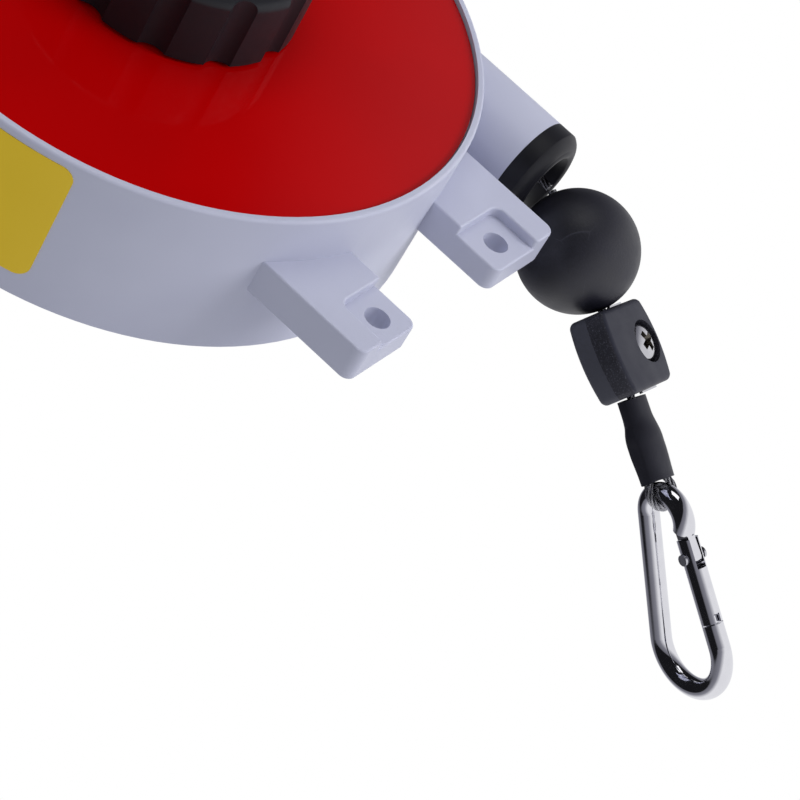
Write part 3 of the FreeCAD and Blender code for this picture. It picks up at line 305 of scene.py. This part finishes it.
# %% [markdown]
# ## Metals
# The carabiner is polished steel, so nearly all of its look is what it mirrors. The hook and the
# screws are zinc plated, with a soft cloudy lustre. Turned steel keeps fine rings from the tool, and
# cast aluminium has a grainy skin. A metal keeps the default index of refraction, and its colour is
# the colour of its mirror image.

# %% Metals
def metal(name, colour, deep, roughness, change, patch_mm, relief_mm, relief_depth_mm, stretch=(1, 1, 1)):
    """Metal whose tone and roughness change together in patches, over a fine relief."""
    material, tree, shader = start_material(name, colour, roughness, 1.0)
    place = object_place(tree, stretch)
    cloud = noise(tree, place, patch_mm, 4.0)
    colour_drift(tree, shader, cloud, 0.3, 0.7, deep, colour)
    roughness_drift(tree, shader, cloud, roughness - change, roughness + change)
    bump(tree, shader, noise(tree, place, relief_mm, 3.0), relief_depth_mm)
    return material


finishes["polished_steel"] = metal("polished_steel", "#E4E4E8", "#DCDCE1", 0.06, 0.03, 4.0, 3.0, 0.004)
finishes["bright_steel"] = metal("turned_steel", "#D2D2D6", "#C4C4C9", 0.20, 0.06, 3.0, 0.5, 0.003)
finishes["zinc_steel"] = metal("zinc_plate", "#C6C8CC", "#B4B7BC", 0.30, 0.08, 5.0, 0.9, 0.006)
finishes["spring_steel"] = metal(
    "blued_spring_steel", "#55575D", "#3F4147", 0.32, 0.08, 4.0, 0.8, 0.004, stretch=(1, 0.1, 1)
)
finishes["bronze"] = metal("sintered_bronze", "#B58A52", "#9C7440", 0.42, 0.08, 2.0, 0.35, 0.010)
finishes["drum_aluminium"] = metal("cast_aluminium", "#BFC0C4", "#AFB1B6", 0.45, 0.08, 6.0, 0.7, 0.020)
finishes["wire_rope"] = metal("drawn_wire", "#C9C9CD", "#A8A8AD", 0.22, 0.06, 1.5, 0.4, 0.003)

# %% [markdown]
# ## Giving every node its finish
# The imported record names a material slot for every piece, so one loop dresses all of them. The
# materials made above are held under the names of those slots.

# %% Dress the frame
slot_of = {part["node"]: part["material_slot"] for part in frame["record"]["subparts"]}
for name, node in nodes.items():
    for holder in node.material_slots:
        holder.material = finishes[slot_of[name]]
print("dressed", len(slot_of), "nodes")

# %% [markdown]
# ## Finding the rope's end
# The rope's end swings, leans and twists, so its pieces lie along directions of their own. The joints
# of the frame give most of them: the ball turns about the rope, the carabiner swings about the wire
# that the eye holds. The reach of a piece along a direction is measured on its own mesh.

# %% Directions at the rope's end
def joint_at(name):
    """Place and direction of a joint."""
    joint = next(entry for entry in frame["joints"] if entry["name"] == name)
    return Vector(joint["pos_m"]), Vector(joint["axis"]).normalized()


def span(node, way, origin):
    """How far a node reaches along a direction, seen from an origin."""
    reach = [(vertex.co - origin).dot(way) for vertex in nodes[node].data.vertices]
    return min(reach), max(reach)


def square_to(vector, way):
    """Part of a vector that stands square to a direction, one long."""
    return (vector - way * vector.dot(way)).normalized()


bend_place, bend_axis = joint_at("rope_bend")
chain_way = joint_at("ball_turn")[1]
eye_place, crown_way = joint_at("carabiner_swing")
rivet_place, gate_axis = joint_at("gate_open")
sleeve_way = (eye_place - middle("ferrule")).normalized()
sleeve_top, sleeve_end = span("shrink_sleeve", sleeve_way, eye_place)
clamp_top, clamp_end = span("clamp_rear_half", chain_way, bend_place)
for name, length in (("sleeve", sleeve_end - sleeve_top), ("clamp", clamp_end - clamp_top)):
    print(name, round(length / MM, 2), "mm")

# %% [markdown]
# ## Helpers for new pieces
# A new piece is a mesh at the origin that rides on a body, names its finish and stands for a node of
# the frame. A few short functions do that for all of them. Curved surfaces are shaded smooth, and
# stay sharp where two faces meet at more than a given angle.

# %% Piece helpers
def smooth(mesh, sharp_degrees):
    """Smooth shading that stays sharp where faces meet at more than an angle."""
    mesh.shade_smooth()
    mesh.set_sharp_from_angle(angle=math.radians(sharp_degrees))


def place_piece(name, mesh, slot, body, node):
    """Puts a mesh into the scene as a piece that stands for a node."""
    piece = bpy.data.objects.new(name, mesh)
    bpy.context.scene.collection.objects.link(piece)
    mesh.materials.clear()
    mesh.materials.append(finishes[slot])
    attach(piece, body)
    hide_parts(node)


def to_mesh(shape, name):
    """Mesh of a finished bmesh, with its normals outwards."""
    bmesh.ops.recalc_face_normals(shape, faces=shape.faces)
    mesh = bpy.data.meshes.new(name)
    shape.to_mesh(mesh)
    shape.free()
    return mesh


def stand(origin, x_way, z_way):
    """Matrix that sets a shape drawn at the origin on a place, with its Z along z_way."""
    z_axis = z_way.normalized()
    x_axis = square_to(x_way, z_axis)
    turn = Matrix((x_axis, z_axis.cross(x_axis), z_axis)).transposed().to_4x4()
    return Matrix.Translation(origin) @ turn


def combined(mesh, cutter_mesh, operation, name):
    """Exact boolean of two meshes, as a new mesh."""
    first = bpy.data.objects.new("first", mesh)
    second = bpy.data.objects.new("second", cutter_mesh)
    for item in (first, second):
        bpy.context.scene.collection.objects.link(item)
    tool = first.modifiers.new("tool", "BOOLEAN")
    tool.operation = operation
    tool.object = second
    tool.solver = "EXACT"
    tool.use_self = True
    graph = bpy.context.evaluated_depsgraph_get()
    result = bpy.data.meshes.new_from_object(first.evaluated_get(graph))
    result.name = name
    for item in (first, second):
        bpy.data.objects.remove(item)
    return result


# %% [markdown]
# ## The wire rope
# The rope is galvanised 7 x 7 steel rope: six strands are laid round a seventh, and each strand is
# seven wires laid the other way, so the wires on its outside run nearly along the rope. A texture
# could fake that, but the outline of a real rope is scalloped and its gaps are dark, so every wire is
# a thin tube that winds round the rope's own smooth line.

# %% Rope helpers
rope_radius = 1.0 * MM
strand_lay = 13.0 * MM
wire_lay = -6.0 * MM
wire_step = 0.45 * MM
round_core = 6
press_share = 0.6


def route(knots):
    """Points along the smooth spline that has the knots as its control points."""
    curve = bpy.data.curves.new("route", "CURVE")
    curve.dimensions = "3D"
    curve.resolution_u = 24
    spline = curve.splines.new("NURBS")
    spline.points.add(len(knots) - 1)
    for point, knot in zip(spline.points, knots):
        point.co = (*knot, 1.0)
    spline.order_u = 3
    spline.use_endpoint_u = True
    holder = bpy.data.objects.new("route", curve)
    mesh = bpy.data.meshes.new_from_object(holder)
    points = [vertex.co.copy() for vertex in mesh.vertices]
    bpy.data.objects.remove(holder)
    return points


def even(points, step):
    """The same line, with its points a step apart."""
    run = [0.0]
    for first, last in zip(points, points[1:]):
        run.append(run[-1] + (last - first).length)
    count = max(2, round(run[-1] / step))
    placed = []
    index = 0
    for number in range(count + 1):
        target = run[-1] * number / count
        while index < len(run) - 2 and run[index + 1] < target:
            index += 1
        share = (target - run[index]) / max(run[index + 1] - run[index], 1e-9)
        placed.append(points[index].lerp(points[index + 1], share))
    return placed


def spread(centre, side, over, amount, angle, radius):
    """Point on a strand's or wire's helix, spread sideways and pressed flat by an amount."""
    aside = radius * math.cos(angle) * (1 + amount)
    above = radius * math.sin(angle) * (1 - amount * press_share)
    return centre + side * aside + over * above


def wire_lines(points, side, radius, flatness):
    """Centre lines of all wires of a rope along points."""
    per_strand = round_core + 1
    lines = [[] for _ in range(per_strand ** 2)]
    run = 0.0
    for number, point in enumerate(points):
        before = points[max(number - 1, 0)]
        after = points[min(number + 1, len(points) - 1)]
        way = (after - before).normalized()
        side = square_to(side, way)
        over = way.cross(side)
        run += (point - before).length
        amount = flatness(number / (len(points) - 1))
        for strand in range(per_strand):
            reach = 0.0 if strand == round_core else 2 * radius / 3
            turn = math.tau * (run / strand_lay + strand / round_core)
            centre = spread(point, side, over, amount, turn, reach)
            for wire in range(per_strand):
                small = 0.0 if wire == round_core else 2 * radius / 9
                twist = turn + math.tau * (run / wire_lay + wire / round_core)
                lines[per_strand * strand + wire].append(spread(centre, side, over, amount, twist, small))
    return lines


def lay_rope(name, knots, side, body, node, flatness=lambda share: 0.0):
    """Wire rope along a route, standing for a plain round node."""
    curve = bpy.data.curves.new(name, "CURVE")
    curve.dimensions = "3D"
    curve.bevel_depth = rope_radius / 9
    curve.bevel_resolution = 1
    curve.use_fill_caps = True
    for line in wire_lines(even(route(knots), wire_step), side, rope_radius, flatness):
        spline = curve.splines.new("POLY")
        spline.points.add(len(line) - 1)
        for point, place in zip(spline.points, line):
            point.co = (*place, 1.0)
    holder = bpy.data.objects.new(name, curve)
    mesh = bpy.data.meshes.new_from_object(holder)
    bpy.data.objects.remove(holder)
    mesh.shade_smooth()
    print(name, len(mesh.polygons), "faces")
    place_piece(name, mesh, "wire_rope", body, node)


# %% Rope from the guide to the sleeve
lead_low, lead_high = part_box("rope_lead")
tail_gap = 0.5 * MM
mouth_straight = 1.2 * MM
lead_top = Vector((bend_place.x, bend_place.y, lead_high[2]))
lead_foot = Vector((bend_place.x, bend_place.y, lead_low[2]))
lead_knots = [lead_top, lead_top.lerp(lead_foot, 0.5), lead_foot]
lay_rope("stranded_lead", lead_knots, bend_axis, "pulled_rope", "rope_lead")
tail_start = bend_place + chain_way * tail_gap
clamp_entry = bend_place + chain_way * clamp_top
sleeve_mouth = eye_place + sleeve_way * sleeve_top
ferrule_top = span("ferrule", sleeve_way, eye_place)[0]
tail_knots = [
    tail_start,
    tail_start.lerp(clamp_entry, 0.5),
    clamp_entry,
    sleeve_mouth - sleeve_way * mouth_straight,
    sleeve_mouth + sleeve_way * mouth_straight,
    eye_place + sleeve_way * ferrule_top,
]
lay_rope("stranded_tail", tail_knots, bend_axis, "rope_end", "rope_tail")

# %% [markdown]
# ## The rope's eye
# Below the sleeve the rope makes a small eye that grips the carabiner's top wire. Bent so tightly, its
# strands flatten and fan out on the wire. The eye's route has six control points on an octagon round
# the wire, and two on each of the legs that run up into the ferrule.

# %% Rope eye
wire_radius = 2.45 * MM
eye_radius = wire_radius + 0.9 * rope_radius
leg_offset = 2.1 * MM
leg_clearance = 0.4 * MM
eye_flatness = 0.32
eye_normal = square_to(crown_way, sleeve_way)
eye_aside = eye_normal.cross(sleeve_way)
corner = eye_radius * math.tan(math.radians(22.5))
leg_top = -span("ferrule", sleeve_way, eye_place)[1]
half_loop = [
    (leg_offset, leg_top),
    (leg_offset, wire_radius + rope_radius + leg_clearance),
    (eye_radius, corner),
    (eye_radius, -corner),
    (corner, -eye_radius),
]
loop = half_loop + [(-aside, height) for aside, height in reversed(half_loop)]
eye_knots = [eye_place + eye_aside * aside - sleeve_way * height for aside, height in loop]
lay_rope("stranded_eye", eye_knots, eye_normal, "rope_end", "rope_eye",
         lambda share: eye_flatness * math.sin(math.pi * share) ** 2)

# %% [markdown]
# ## The heat-shrink sleeve
# A black sleeve is shrunk over the pressed ferrule. It takes the shape of what is under it: narrow over
# the rope, wide over the ferrule, with a flat and a soft crease where it lay against the ferrule's edge
# while it was hot. Its lower end was cut with a knife, so it isn't quite even. A ring of points is
# extruded along the sleeve, every point is set by a few sizes, and the wall is added at the end.

# %% Sleeve
neck_radius, neck_growth = 3.5 * MM, 0.25 * MM
swell_radius, swell_loss = 4.42 * MM, 0.30 * MM
swell_start, swell_full, swell_fades = 0.20, 0.52, 0.62
sleeve_rows = 48
sleeve_points = 72
sleeve_oval = 0.8
sleeve_wall = 0.25 * MM
flat_reach, flat_loss = 0.93, 0.05
flat_hardness = 0.85
crease_share, crease_width, crease_depth = 0.32, 0.05, 0.055
wrinkle_depth = 0.008
lip_start = 0.85


def ease(value, low, high):
    """Smooth step from 0 at low to 1 at high."""
    share = min(max((value - low) / (high - low), 0.0), 1.0)
    return share * share * (3 - 2 * share)


def sleeve_radius(share):
    """Half width of the sleeve along its length."""
    neck = neck_radius + neck_growth * share
    swell = swell_radius - swell_loss * ease(share, swell_fades, 1.0)
    return neck + (swell - neck) * ease(share, swell_start, swell_full)


flat_way = square_to(Vector((-1.0, 0.0, 0.2)), sleeve_way)
tube = bmesh.new()
bmesh.ops.create_circle(tube, segments=sleeve_points, radius=1.0)
rim = list(tube.edges)
for row in range(sleeve_rows):
    grown = bmesh.ops.extrude_edge_only(tube, edges=rim)["geom"]
    moved = [item for item in grown if isinstance(item, bmesh.types.BMVert)]
    bmesh.ops.translate(tube, verts=moved, vec=(0, 0, 1 / sleeve_rows))
    rim = [item for item in grown if isinstance(item, bmesh.types.BMEdge)]
for vertex in tube.verts:
    share = vertex.co.z
    angle = math.atan2(vertex.co.y, vertex.co.x)
    radius = sleeve_radius(share)
    offset = eye_aside * (radius * math.cos(angle)) + eye_normal * (radius * sleeve_oval * math.sin(angle))
    facing = offset.normalized().dot(flat_way)
    limit = radius * (flat_reach - flat_loss * ease(share, 0.4, 0.6))
    beyond = offset.dot(flat_way) - limit
    if beyond > 0:
        offset -= flat_way * (beyond * flat_hardness)
    crease = math.exp(-((share - crease_share) / crease_width) ** 2) * max(facing, 0.0) ** 3
    offset *= 1 - crease_depth * crease + wrinkle_depth * math.sin(5 * angle + 9 * share)
    lip = 0.05 + 0.25 * math.cos(angle) ** 2 + 0.08 * math.sin(3 * angle + 1.0) + 0.04 * math.sin(7 * angle)
    along = sleeve_top + (sleeve_end - sleeve_top) * share + lip * MM * ease(share, lip_start, 1.0)
    vertex.co = eye_place + sleeve_way * along + offset
bmesh.ops.recalc_face_normals(tube, faces=tube.faces)
bmesh.ops.solidify(tube, geom=tube.faces[:], thickness=sleeve_wall)
sleeve_mesh = to_mesh(tube, "shrunk_sleeve")
smooth(sleeve_mesh, 50)
place_piece("shrunk_sleeve", sleeve_mesh, "shrink_plastic", "rope_end", "shrink_sleeve")

# %% [markdown]
# ## The clamp's halves
# The two nylon halves come from a mould whose cavity edges were rounded by hand, more on the outside
# corners than a drawing shows. A block with wide round edges is bowed along its length, cut in two at
# the split, and the counterbore and the rope's channel are taken out of it.

# %% Clamp halves
widest = max(nodes["clamp_plate"].data.polygons, key=lambda face: face.area)
facing_screw = 1 if widest.normal.dot(middle("clamp_screw") - middle("clamp_nut")) > 0 else -1
clamp_front = square_to(widest.normal * facing_screw, chain_way)
clamp_side = clamp_front.cross(chain_way)
clamp_origin = bend_place + chain_way * ((clamp_top + clamp_end) / 2)
clamp_length = clamp_end - clamp_top
side_low, side_high = span("clamp_rear_half", clamp_side, clamp_origin)
front_reach = span("clamp_front_half", clamp_front, clamp_origin)[1]
back_reach = -span("clamp_rear_half", clamp_front, clamp_origin)[0]
clamp_width = side_high - side_low
clamp_depth = front_reach + back_reach
clamp_bow = 19.4 / 22.6  # width at the ends over width in the middle
clamp_depth_bow = 9.2 / 9.6
block_slices = 24
clamp_round = 1.35 * MM
bore_radius = 5.0 * MM
bore_depth = 2.4 * MM
channel_radius = 1.25 * MM


def clamp_block():
    """Bowed block with round edges, drawn at the origin."""
    block = bmesh.new()
    bmesh.ops.create_cube(block, size=1.0)
    bmesh.ops.scale(block, verts=block.verts, vec=(clamp_width, clamp_depth, clamp_length))
    bmesh.ops.bevel(block, geom=block.edges[:], offset=clamp_round, offset_type="OFFSET", segments=7,
                    profile=0.5, affect="EDGES", clamp_overlap=True, material=-1)
    for number in range(1, block_slices):
        height = (number / block_slices - 0.5) * (clamp_length - 2 * clamp_round)
        everything = block.verts[:] + block.edges[:] + block.faces[:]
        bmesh.ops.bisect_plane(block, geom=everything, plane_co=(0, 0, height), plane_no=(0, 0, 1))
    for vertex in block.verts:
        bowed = 1 - (2 * vertex.co.z / clamp_length) ** 2
        vertex.co.x *= clamp_bow + (1 - clamp_bow) * bowed
        vertex.co.y *= clamp_depth_bow + (1 - clamp_depth_bow) * bowed
    return block


def rod(radius, start, end, segments=64):
    """Round bar between two places."""
    bar = bmesh.new()
    length = (end - start).length
    bmesh.ops.create_cone(bar, cap_ends=True, segments=segments, radius1=radius, radius2=radius, depth=length)
    bmesh.ops.translate(bar, verts=bar.verts, vec=(0, 0, length / 2))
    bmesh.ops.transform(bar, matrix=stand(start, clamp_side, end - start), verts=bar.verts)
    return to_mesh(bar, "rod")


block_centre = clamp_origin + clamp_side * ((side_low + side_high) / 2)
block_centre += clamp_front * ((front_reach - back_reach) / 2)
block_place = stand(block_centre, clamp_side, -chain_way)
split = clamp_origin + clamp_front * span("clamp_rear_half", clamp_front, clamp_origin)[1]
front_face = clamp_origin + clamp_front * front_reach
screw_axis = middle("clamp_nut") - clamp_front * (middle("clamp_nut") - front_face).dot(clamp_front)
rope_out = sleeve_mouth - sleeve_way * MM
halves = (("clamp_front_half", "front_clamp_half", 1), ("clamp_rear_half", "rear_clamp_half", -1))
for node, name, keep in halves:
    half = clamp_block()
    bmesh.ops.transform(half, matrix=block_place, verts=half.verts)
    everything = half.verts[:] + half.edges[:] + half.faces[:]
    cut_way = clamp_front * -keep
    bmesh.ops.bisect_plane(half, geom=everything, plane_co=split, plane_no=cut_way, clear_outer=True)
    bmesh.ops.holes_fill(half, edges=[edge for edge in half.edges if edge.is_boundary])
    half_mesh = to_mesh(half, name)
    channel = rod(channel_radius, clamp_entry - chain_way * MM, rope_out + chain_way * MM, 24)
    half_mesh = combined(half_mesh, channel, "DIFFERENCE", name)
    if keep > 0:
        bore = rod(bore_radius, screw_axis - clamp_front * bore_depth, screw_axis + clamp_front * bore_depth)
        half_mesh = combined(half_mesh, bore, "DIFFERENCE", name)
    smooth(half_mesh, 30)
    print(name, len(half_mesh.polygons), "faces")
    place_piece(name, half_mesh, "clamp_plastic", "rope_end", node)
    if keep < 0:
        half_mesh.materials[0] = rear_nylon
        continue
    half_mesh.materials.append(side_nylon)
    for face in half_mesh.polygons:
        if abs(face.normal.dot(clamp_front)) < 0.6:
            face.material_index = 1

# %% [markdown]
# ## The clamp's screw
# A pan head screw with a cross recess closes the clamp. The head is a profile spun round the screw's
# axis. The recess is cut by two crossing wedges, wide at the top and narrow at the bottom, as the
# punch that forms it is. The faces inside the recess get a darker steel, which is painted shade.

# %% Clamp screw
screw_line = middle("clamp_nut")
screw_foot, cad_top = span("clamp_screw", clamp_front, screw_line)
head_radius = 4.35 * MM
head_height = 2.6 * MM
dome_start = 1.1 * MM
dome_points = 8
shank_radius = 2.0 * MM
wedge_size = (8.4 * MM, 2.3 * MM, 3.6 * MM)
wedge_taper = (0.25, 0.45, 1.0)
recess_turn = 27.0
recess_reach = 0.7 * head_radius
recess_depth = 0.12 * MM
seat = cad_top - bore_depth
screw_top = seat + head_height
dome_height = head_height - dome_start
head = bmesh.new()
outline = [(0.0, screw_foot), (shank_radius, screw_foot), (shank_radius, seat), (head_radius, seat)]
for number in range(dome_points):
    angle = math.radians(90 * number / dome_points)
    outline.append((head_radius * math.cos(angle), seat + dome_start + dome_height * math.sin(angle)))
outline.append((0.0, screw_top))
profile = [head.verts.new((radius, 0.0, height)) for radius, height in outline]
ribs = [head.edges.new(pair) for pair in zip(profile, profile[1:])]
bmesh.ops.spin(head, geom=profile + ribs, cent=(0, 0, 0), axis=(0, 0, 1), angle=math.tau, steps=64,
               use_merge=True)
bmesh.ops.remove_doubles(head, verts=head.verts, dist=0.001 * MM)
screw_mesh = to_mesh(head, "screw")
punch = bmesh.new()
for turn in (0, 90):
    made = bmesh.ops.create_cube(punch, size=1.0)["verts"]
    bmesh.ops.scale(punch, verts=made, vec=wedge_size)
    foot = [vertex for vertex in made if vertex.co.z < 0]
    bmesh.ops.scale(punch, verts=foot, vec=wedge_taper)
    bmesh.ops.rotate(punch, verts=made, matrix=Matrix.Rotation(math.radians(turn + recess_turn), 3, "Z"))
bmesh.ops.translate(punch, verts=punch.verts, vec=(0, 0, screw_top))
screw_mesh = combined(screw_mesh, to_mesh(punch, "punch"), "DIFFERENCE", "cross_screw")
print("screw", len(screw_mesh.polygons), "faces")
# A darker steel for the faces inside the cross recess: painted shade in the recess.
recess_shade_steel = metal("recess_painted_shade", "#7A756C", "#4C4842", 0.38, 0.06, 1.5, 0.5, 0.004)
screw_mesh.materials.clear()
inside_recess = []
for face in screw_mesh.polygons:
    reach = Vector(face.center[:2]).length
    dome = seat + dome_start + dome_height * math.sqrt(max(1 - (reach / head_radius) ** 2, 0.0))
    sunk = dome - face.center.z > recess_depth
    inside_recess.append(face.center.z > seat and reach < recess_reach and sunk)
screw_mesh.transform(stand(screw_line, clamp_side, clamp_front))
smooth(screw_mesh, 40)
place_piece("cross_screw", screw_mesh, "bright_steel", "rope_end", "clamp_screw")
screw_mesh.materials.append(recess_shade_steel)
# Faces inside the recess take the darker steel of the painted shade.
for face, inside in zip(screw_mesh.polygons, inside_recess):
    face.material_index = int(inside)

# %% [markdown]
# ## The gate's spring
# A tiny compression spring behind the tongue closes the gate. It shows in the slot. A small ring of
# points is swept along a helix by one spin that also moves a little at each step.

# %% Gate spring
gate_way = square_to(middle("carabiner_gate") - rivet_place, gate_axis)
spring_low, spring_high = span("gate_spring", gate_way, rivet_place)
spring_body = body_of(nodes["gate_spring"])[0]
coil_wire = 0.16 * MM
coil_radius = 0.8 * MM - coil_wire
coil_turns = 8
coil_steps = 16 * coil_turns
coil = bmesh.new()
made = bmesh.ops.create_circle(coil, segments=8, radius=coil_wire, cap_ends=True)["verts"]
bmesh.ops.rotate(coil, verts=made, matrix=Matrix.Rotation(math.pi / 2, 3, "X"))
bmesh.ops.translate(coil, verts=made, vec=(coil_radius, 0, coil_wire))
rise = (spring_high - spring_low - 2 * coil_wire) / coil_steps
bmesh.ops.spin(coil, geom=coil.faces[:], cent=(0, 0, 0), axis=(0, 0, 1), dvec=(0, 0, rise),
               angle=math.tau * coil_turns, steps=coil_steps)
coil_place = stand(rivet_place + gate_way * spring_low, gate_axis, gate_way)
bmesh.ops.transform(coil, matrix=coil_place, verts=coil.verts)
coil_mesh = to_mesh(coil, "coiled_gate_spring")
smooth(coil_mesh, 50)
place_piece("coiled_gate_spring", coil_mesh, "spring_steel", spring_body, "gate_spring")

# %% [markdown]
# ## Camera
# The camera stands low to the left of the part, looks up and across its face, and is rolled, with a
# long lens that keeps the perspective gentle.

# %% Camera
plate_centre = middle("face_plate")
plate_centre.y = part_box("face_plate")[0][1]
camera_offset = Vector((-0.4984, -0.3962, -0.2314))
azimuth, rise, roll = math.radians(48.53), math.radians(11.90), math.radians(-47.18)
camera_data = bpy.data.cameras.new("camera")
camera_data.lens = 144.0
camera_data.sensor_width = 36.0
camera_data.clip_end = 50.0
camera = bpy.data.objects.new("camera", camera_data)
bpy.context.scene.collection.objects.link(camera)
turn = Matrix.Rotation(-azimuth, 4, "Z") @ Matrix.Rotation(math.pi / 2 + rise, 4, "X")
turn = turn @ Matrix.Rotation(roll, 4, "Z")
camera.matrix_world = Matrix.Translation(plate_centre + camera_offset) @ turn
bpy.context.scene.camera = camera

# %% [markdown]
# ## Floor, backdrop and lamps
# The backdrop and the floor are plain white to the camera, and the floor lies deep enough for the rope
# at its full length. Polished steel needs something to mirror, so glossy rays see a room that is
# bright below and behind the part and dark above and in front of it. Four soft lamps light the part.
# Three of them stay out of mirror images, where they would show as hard rectangles.

# %% World
bpy.context.scene.view_settings.view_transform = "Standard"
world = bpy.data.worlds.new("studio")
bpy.context.scene.world = world
world.use_nodes = True
sky = world.node_tree
sky.nodes.clear()
path = add(sky, "LightPath")
direction = add(sky, "TexCoord").outputs["Generated"]
bright_side = (0.35, 0.35, -0.87)
soft_level = 0.50
lean = add(sky, "VectorMath", {"operation": "DOT_PRODUCT"}, i0=direction, i1=bright_side).outputs["Value"]
room_stops = [(-0.215, "#1A1A1D"), (-0.160, "#74747C"), (0.080, "#8C8C95"), (0.420, "#F6F6F8")]
room_node = add(sky, "ValToRGB", Fac=level(sky, lean, -1.0, 1.0, 0.0, 1.0))
stops = room_node.color_ramp.elements
stops.remove(stops[1])
for number, (place, colour) in enumerate(room_stops):
    stop = stops[0] if number == 0 else stops.new((place + 1) / 2)
    stop.position, stop.color = (place + 1) / 2, linear(colour)
room = room_node.outputs["Color"]
soft = add(sky, "Background", Color=(0.94, 0.96, 1.0, 1), Strength=soft_level)
mirror = add(sky, "Background", Color=room, Strength=1.0)
white = add(sky, "Background", Color=(1, 1, 1, 1), Strength=1.0)
first = add(sky, "MixShader", i0=path.outputs["Is Glossy Ray"], i1=soft.outputs[0], i2=mirror.outputs[0])
second = add(sky, "MixShader", i0=path.outputs["Is Camera Ray"], i1=first.outputs[0], i2=white.outputs[0])
add(sky, "OutputWorld", Surface=second.outputs[0])

# %% Floor and lamps
low_corner, high_corner = (Vector(v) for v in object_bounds())
centre = (low_corner + high_corner) / 2
rope_length = 1.6
floor_drop = rope_length + 0.3
floor_size = 40.0
floor_glow = 0.62
floor_mesh = bpy.data.meshes.new("floor")
plane = bmesh.new()
bmesh.ops.create_grid(plane, x_segments=1, y_segments=1, size=floor_size)
bmesh.ops.translate(plane, verts=plane.verts, vec=(centre.x, centre.y, low_corner.z - floor_drop))
plane.to_mesh(floor_mesh)
plane.free()
floor = bpy.data.objects.new("floor", floor_mesh)
bpy.context.scene.collection.objects.link(floor)
floor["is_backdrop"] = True
paper, paper_tree, paper_shader = start_material("white_paper", "#F4F4F6", 0.9)
paper_path = add(paper_tree, "LightPath")
camera_ray, glossy_ray = (paper_path.outputs[kind] for kind in ("Is Camera Ray", "Is Glossy Ray"))
glow = add(paper_tree, "Math", {"operation": "MULTIPLY"}, i0=camera_ray, i1=floor_glow)
backlight = add(paper_tree, "Emission", Color=(1, 1, 1, 1), Strength=glow.outputs[0])
pale = add(paper_tree, "AddShader", i0=paper_shader.outputs[0], i1=backlight.outputs[0])
clear = add(paper_tree, "BsdfTransparent")
seen = add(paper_tree, "MixShader", i0=glossy_ray, i1=pale.outputs[0], i2=clear.outputs[0])
paper_tree.links.new(seen.outputs[0], paper_tree.nodes["Material Output"].inputs["Surface"])
floor.data.materials.append(paper)


def lamp(name, offset, size, power, height=None, mirrored=True):
    """Soft lamp at an offset from the part's middle, aimed at it; it may stay out of mirror images."""
    data = bpy.data.lights.new(name, "AREA")
    data.shape = "RECTANGLE"
    data.size = size
    data.size_y = height or size
    data.energy = power
    lamp_object = bpy.data.objects.new(name, data)
    bpy.context.scene.collection.objects.link(lamp_object)
    lamp_object.location = centre + Vector(offset)
    lamp_object.rotation_euler = (-Vector(offset)).to_track_quat("-Z", "Y").to_euler()
    lamp_object.visible_glossy = mirrored


lamp("key", (0.275, -0.425, -0.543), 0.45, 2.89, 0.206, mirrored=False)
lamp("front", (0.10, -0.68, 0.22), 0.40, 0.7)
lamp("left", (-0.50, 0.22, -0.50), 0.40, 0.5, mirrored=False)
lamp("back", (0.25, 0.66, 0.30), 0.50, 3.0, mirrored=False)
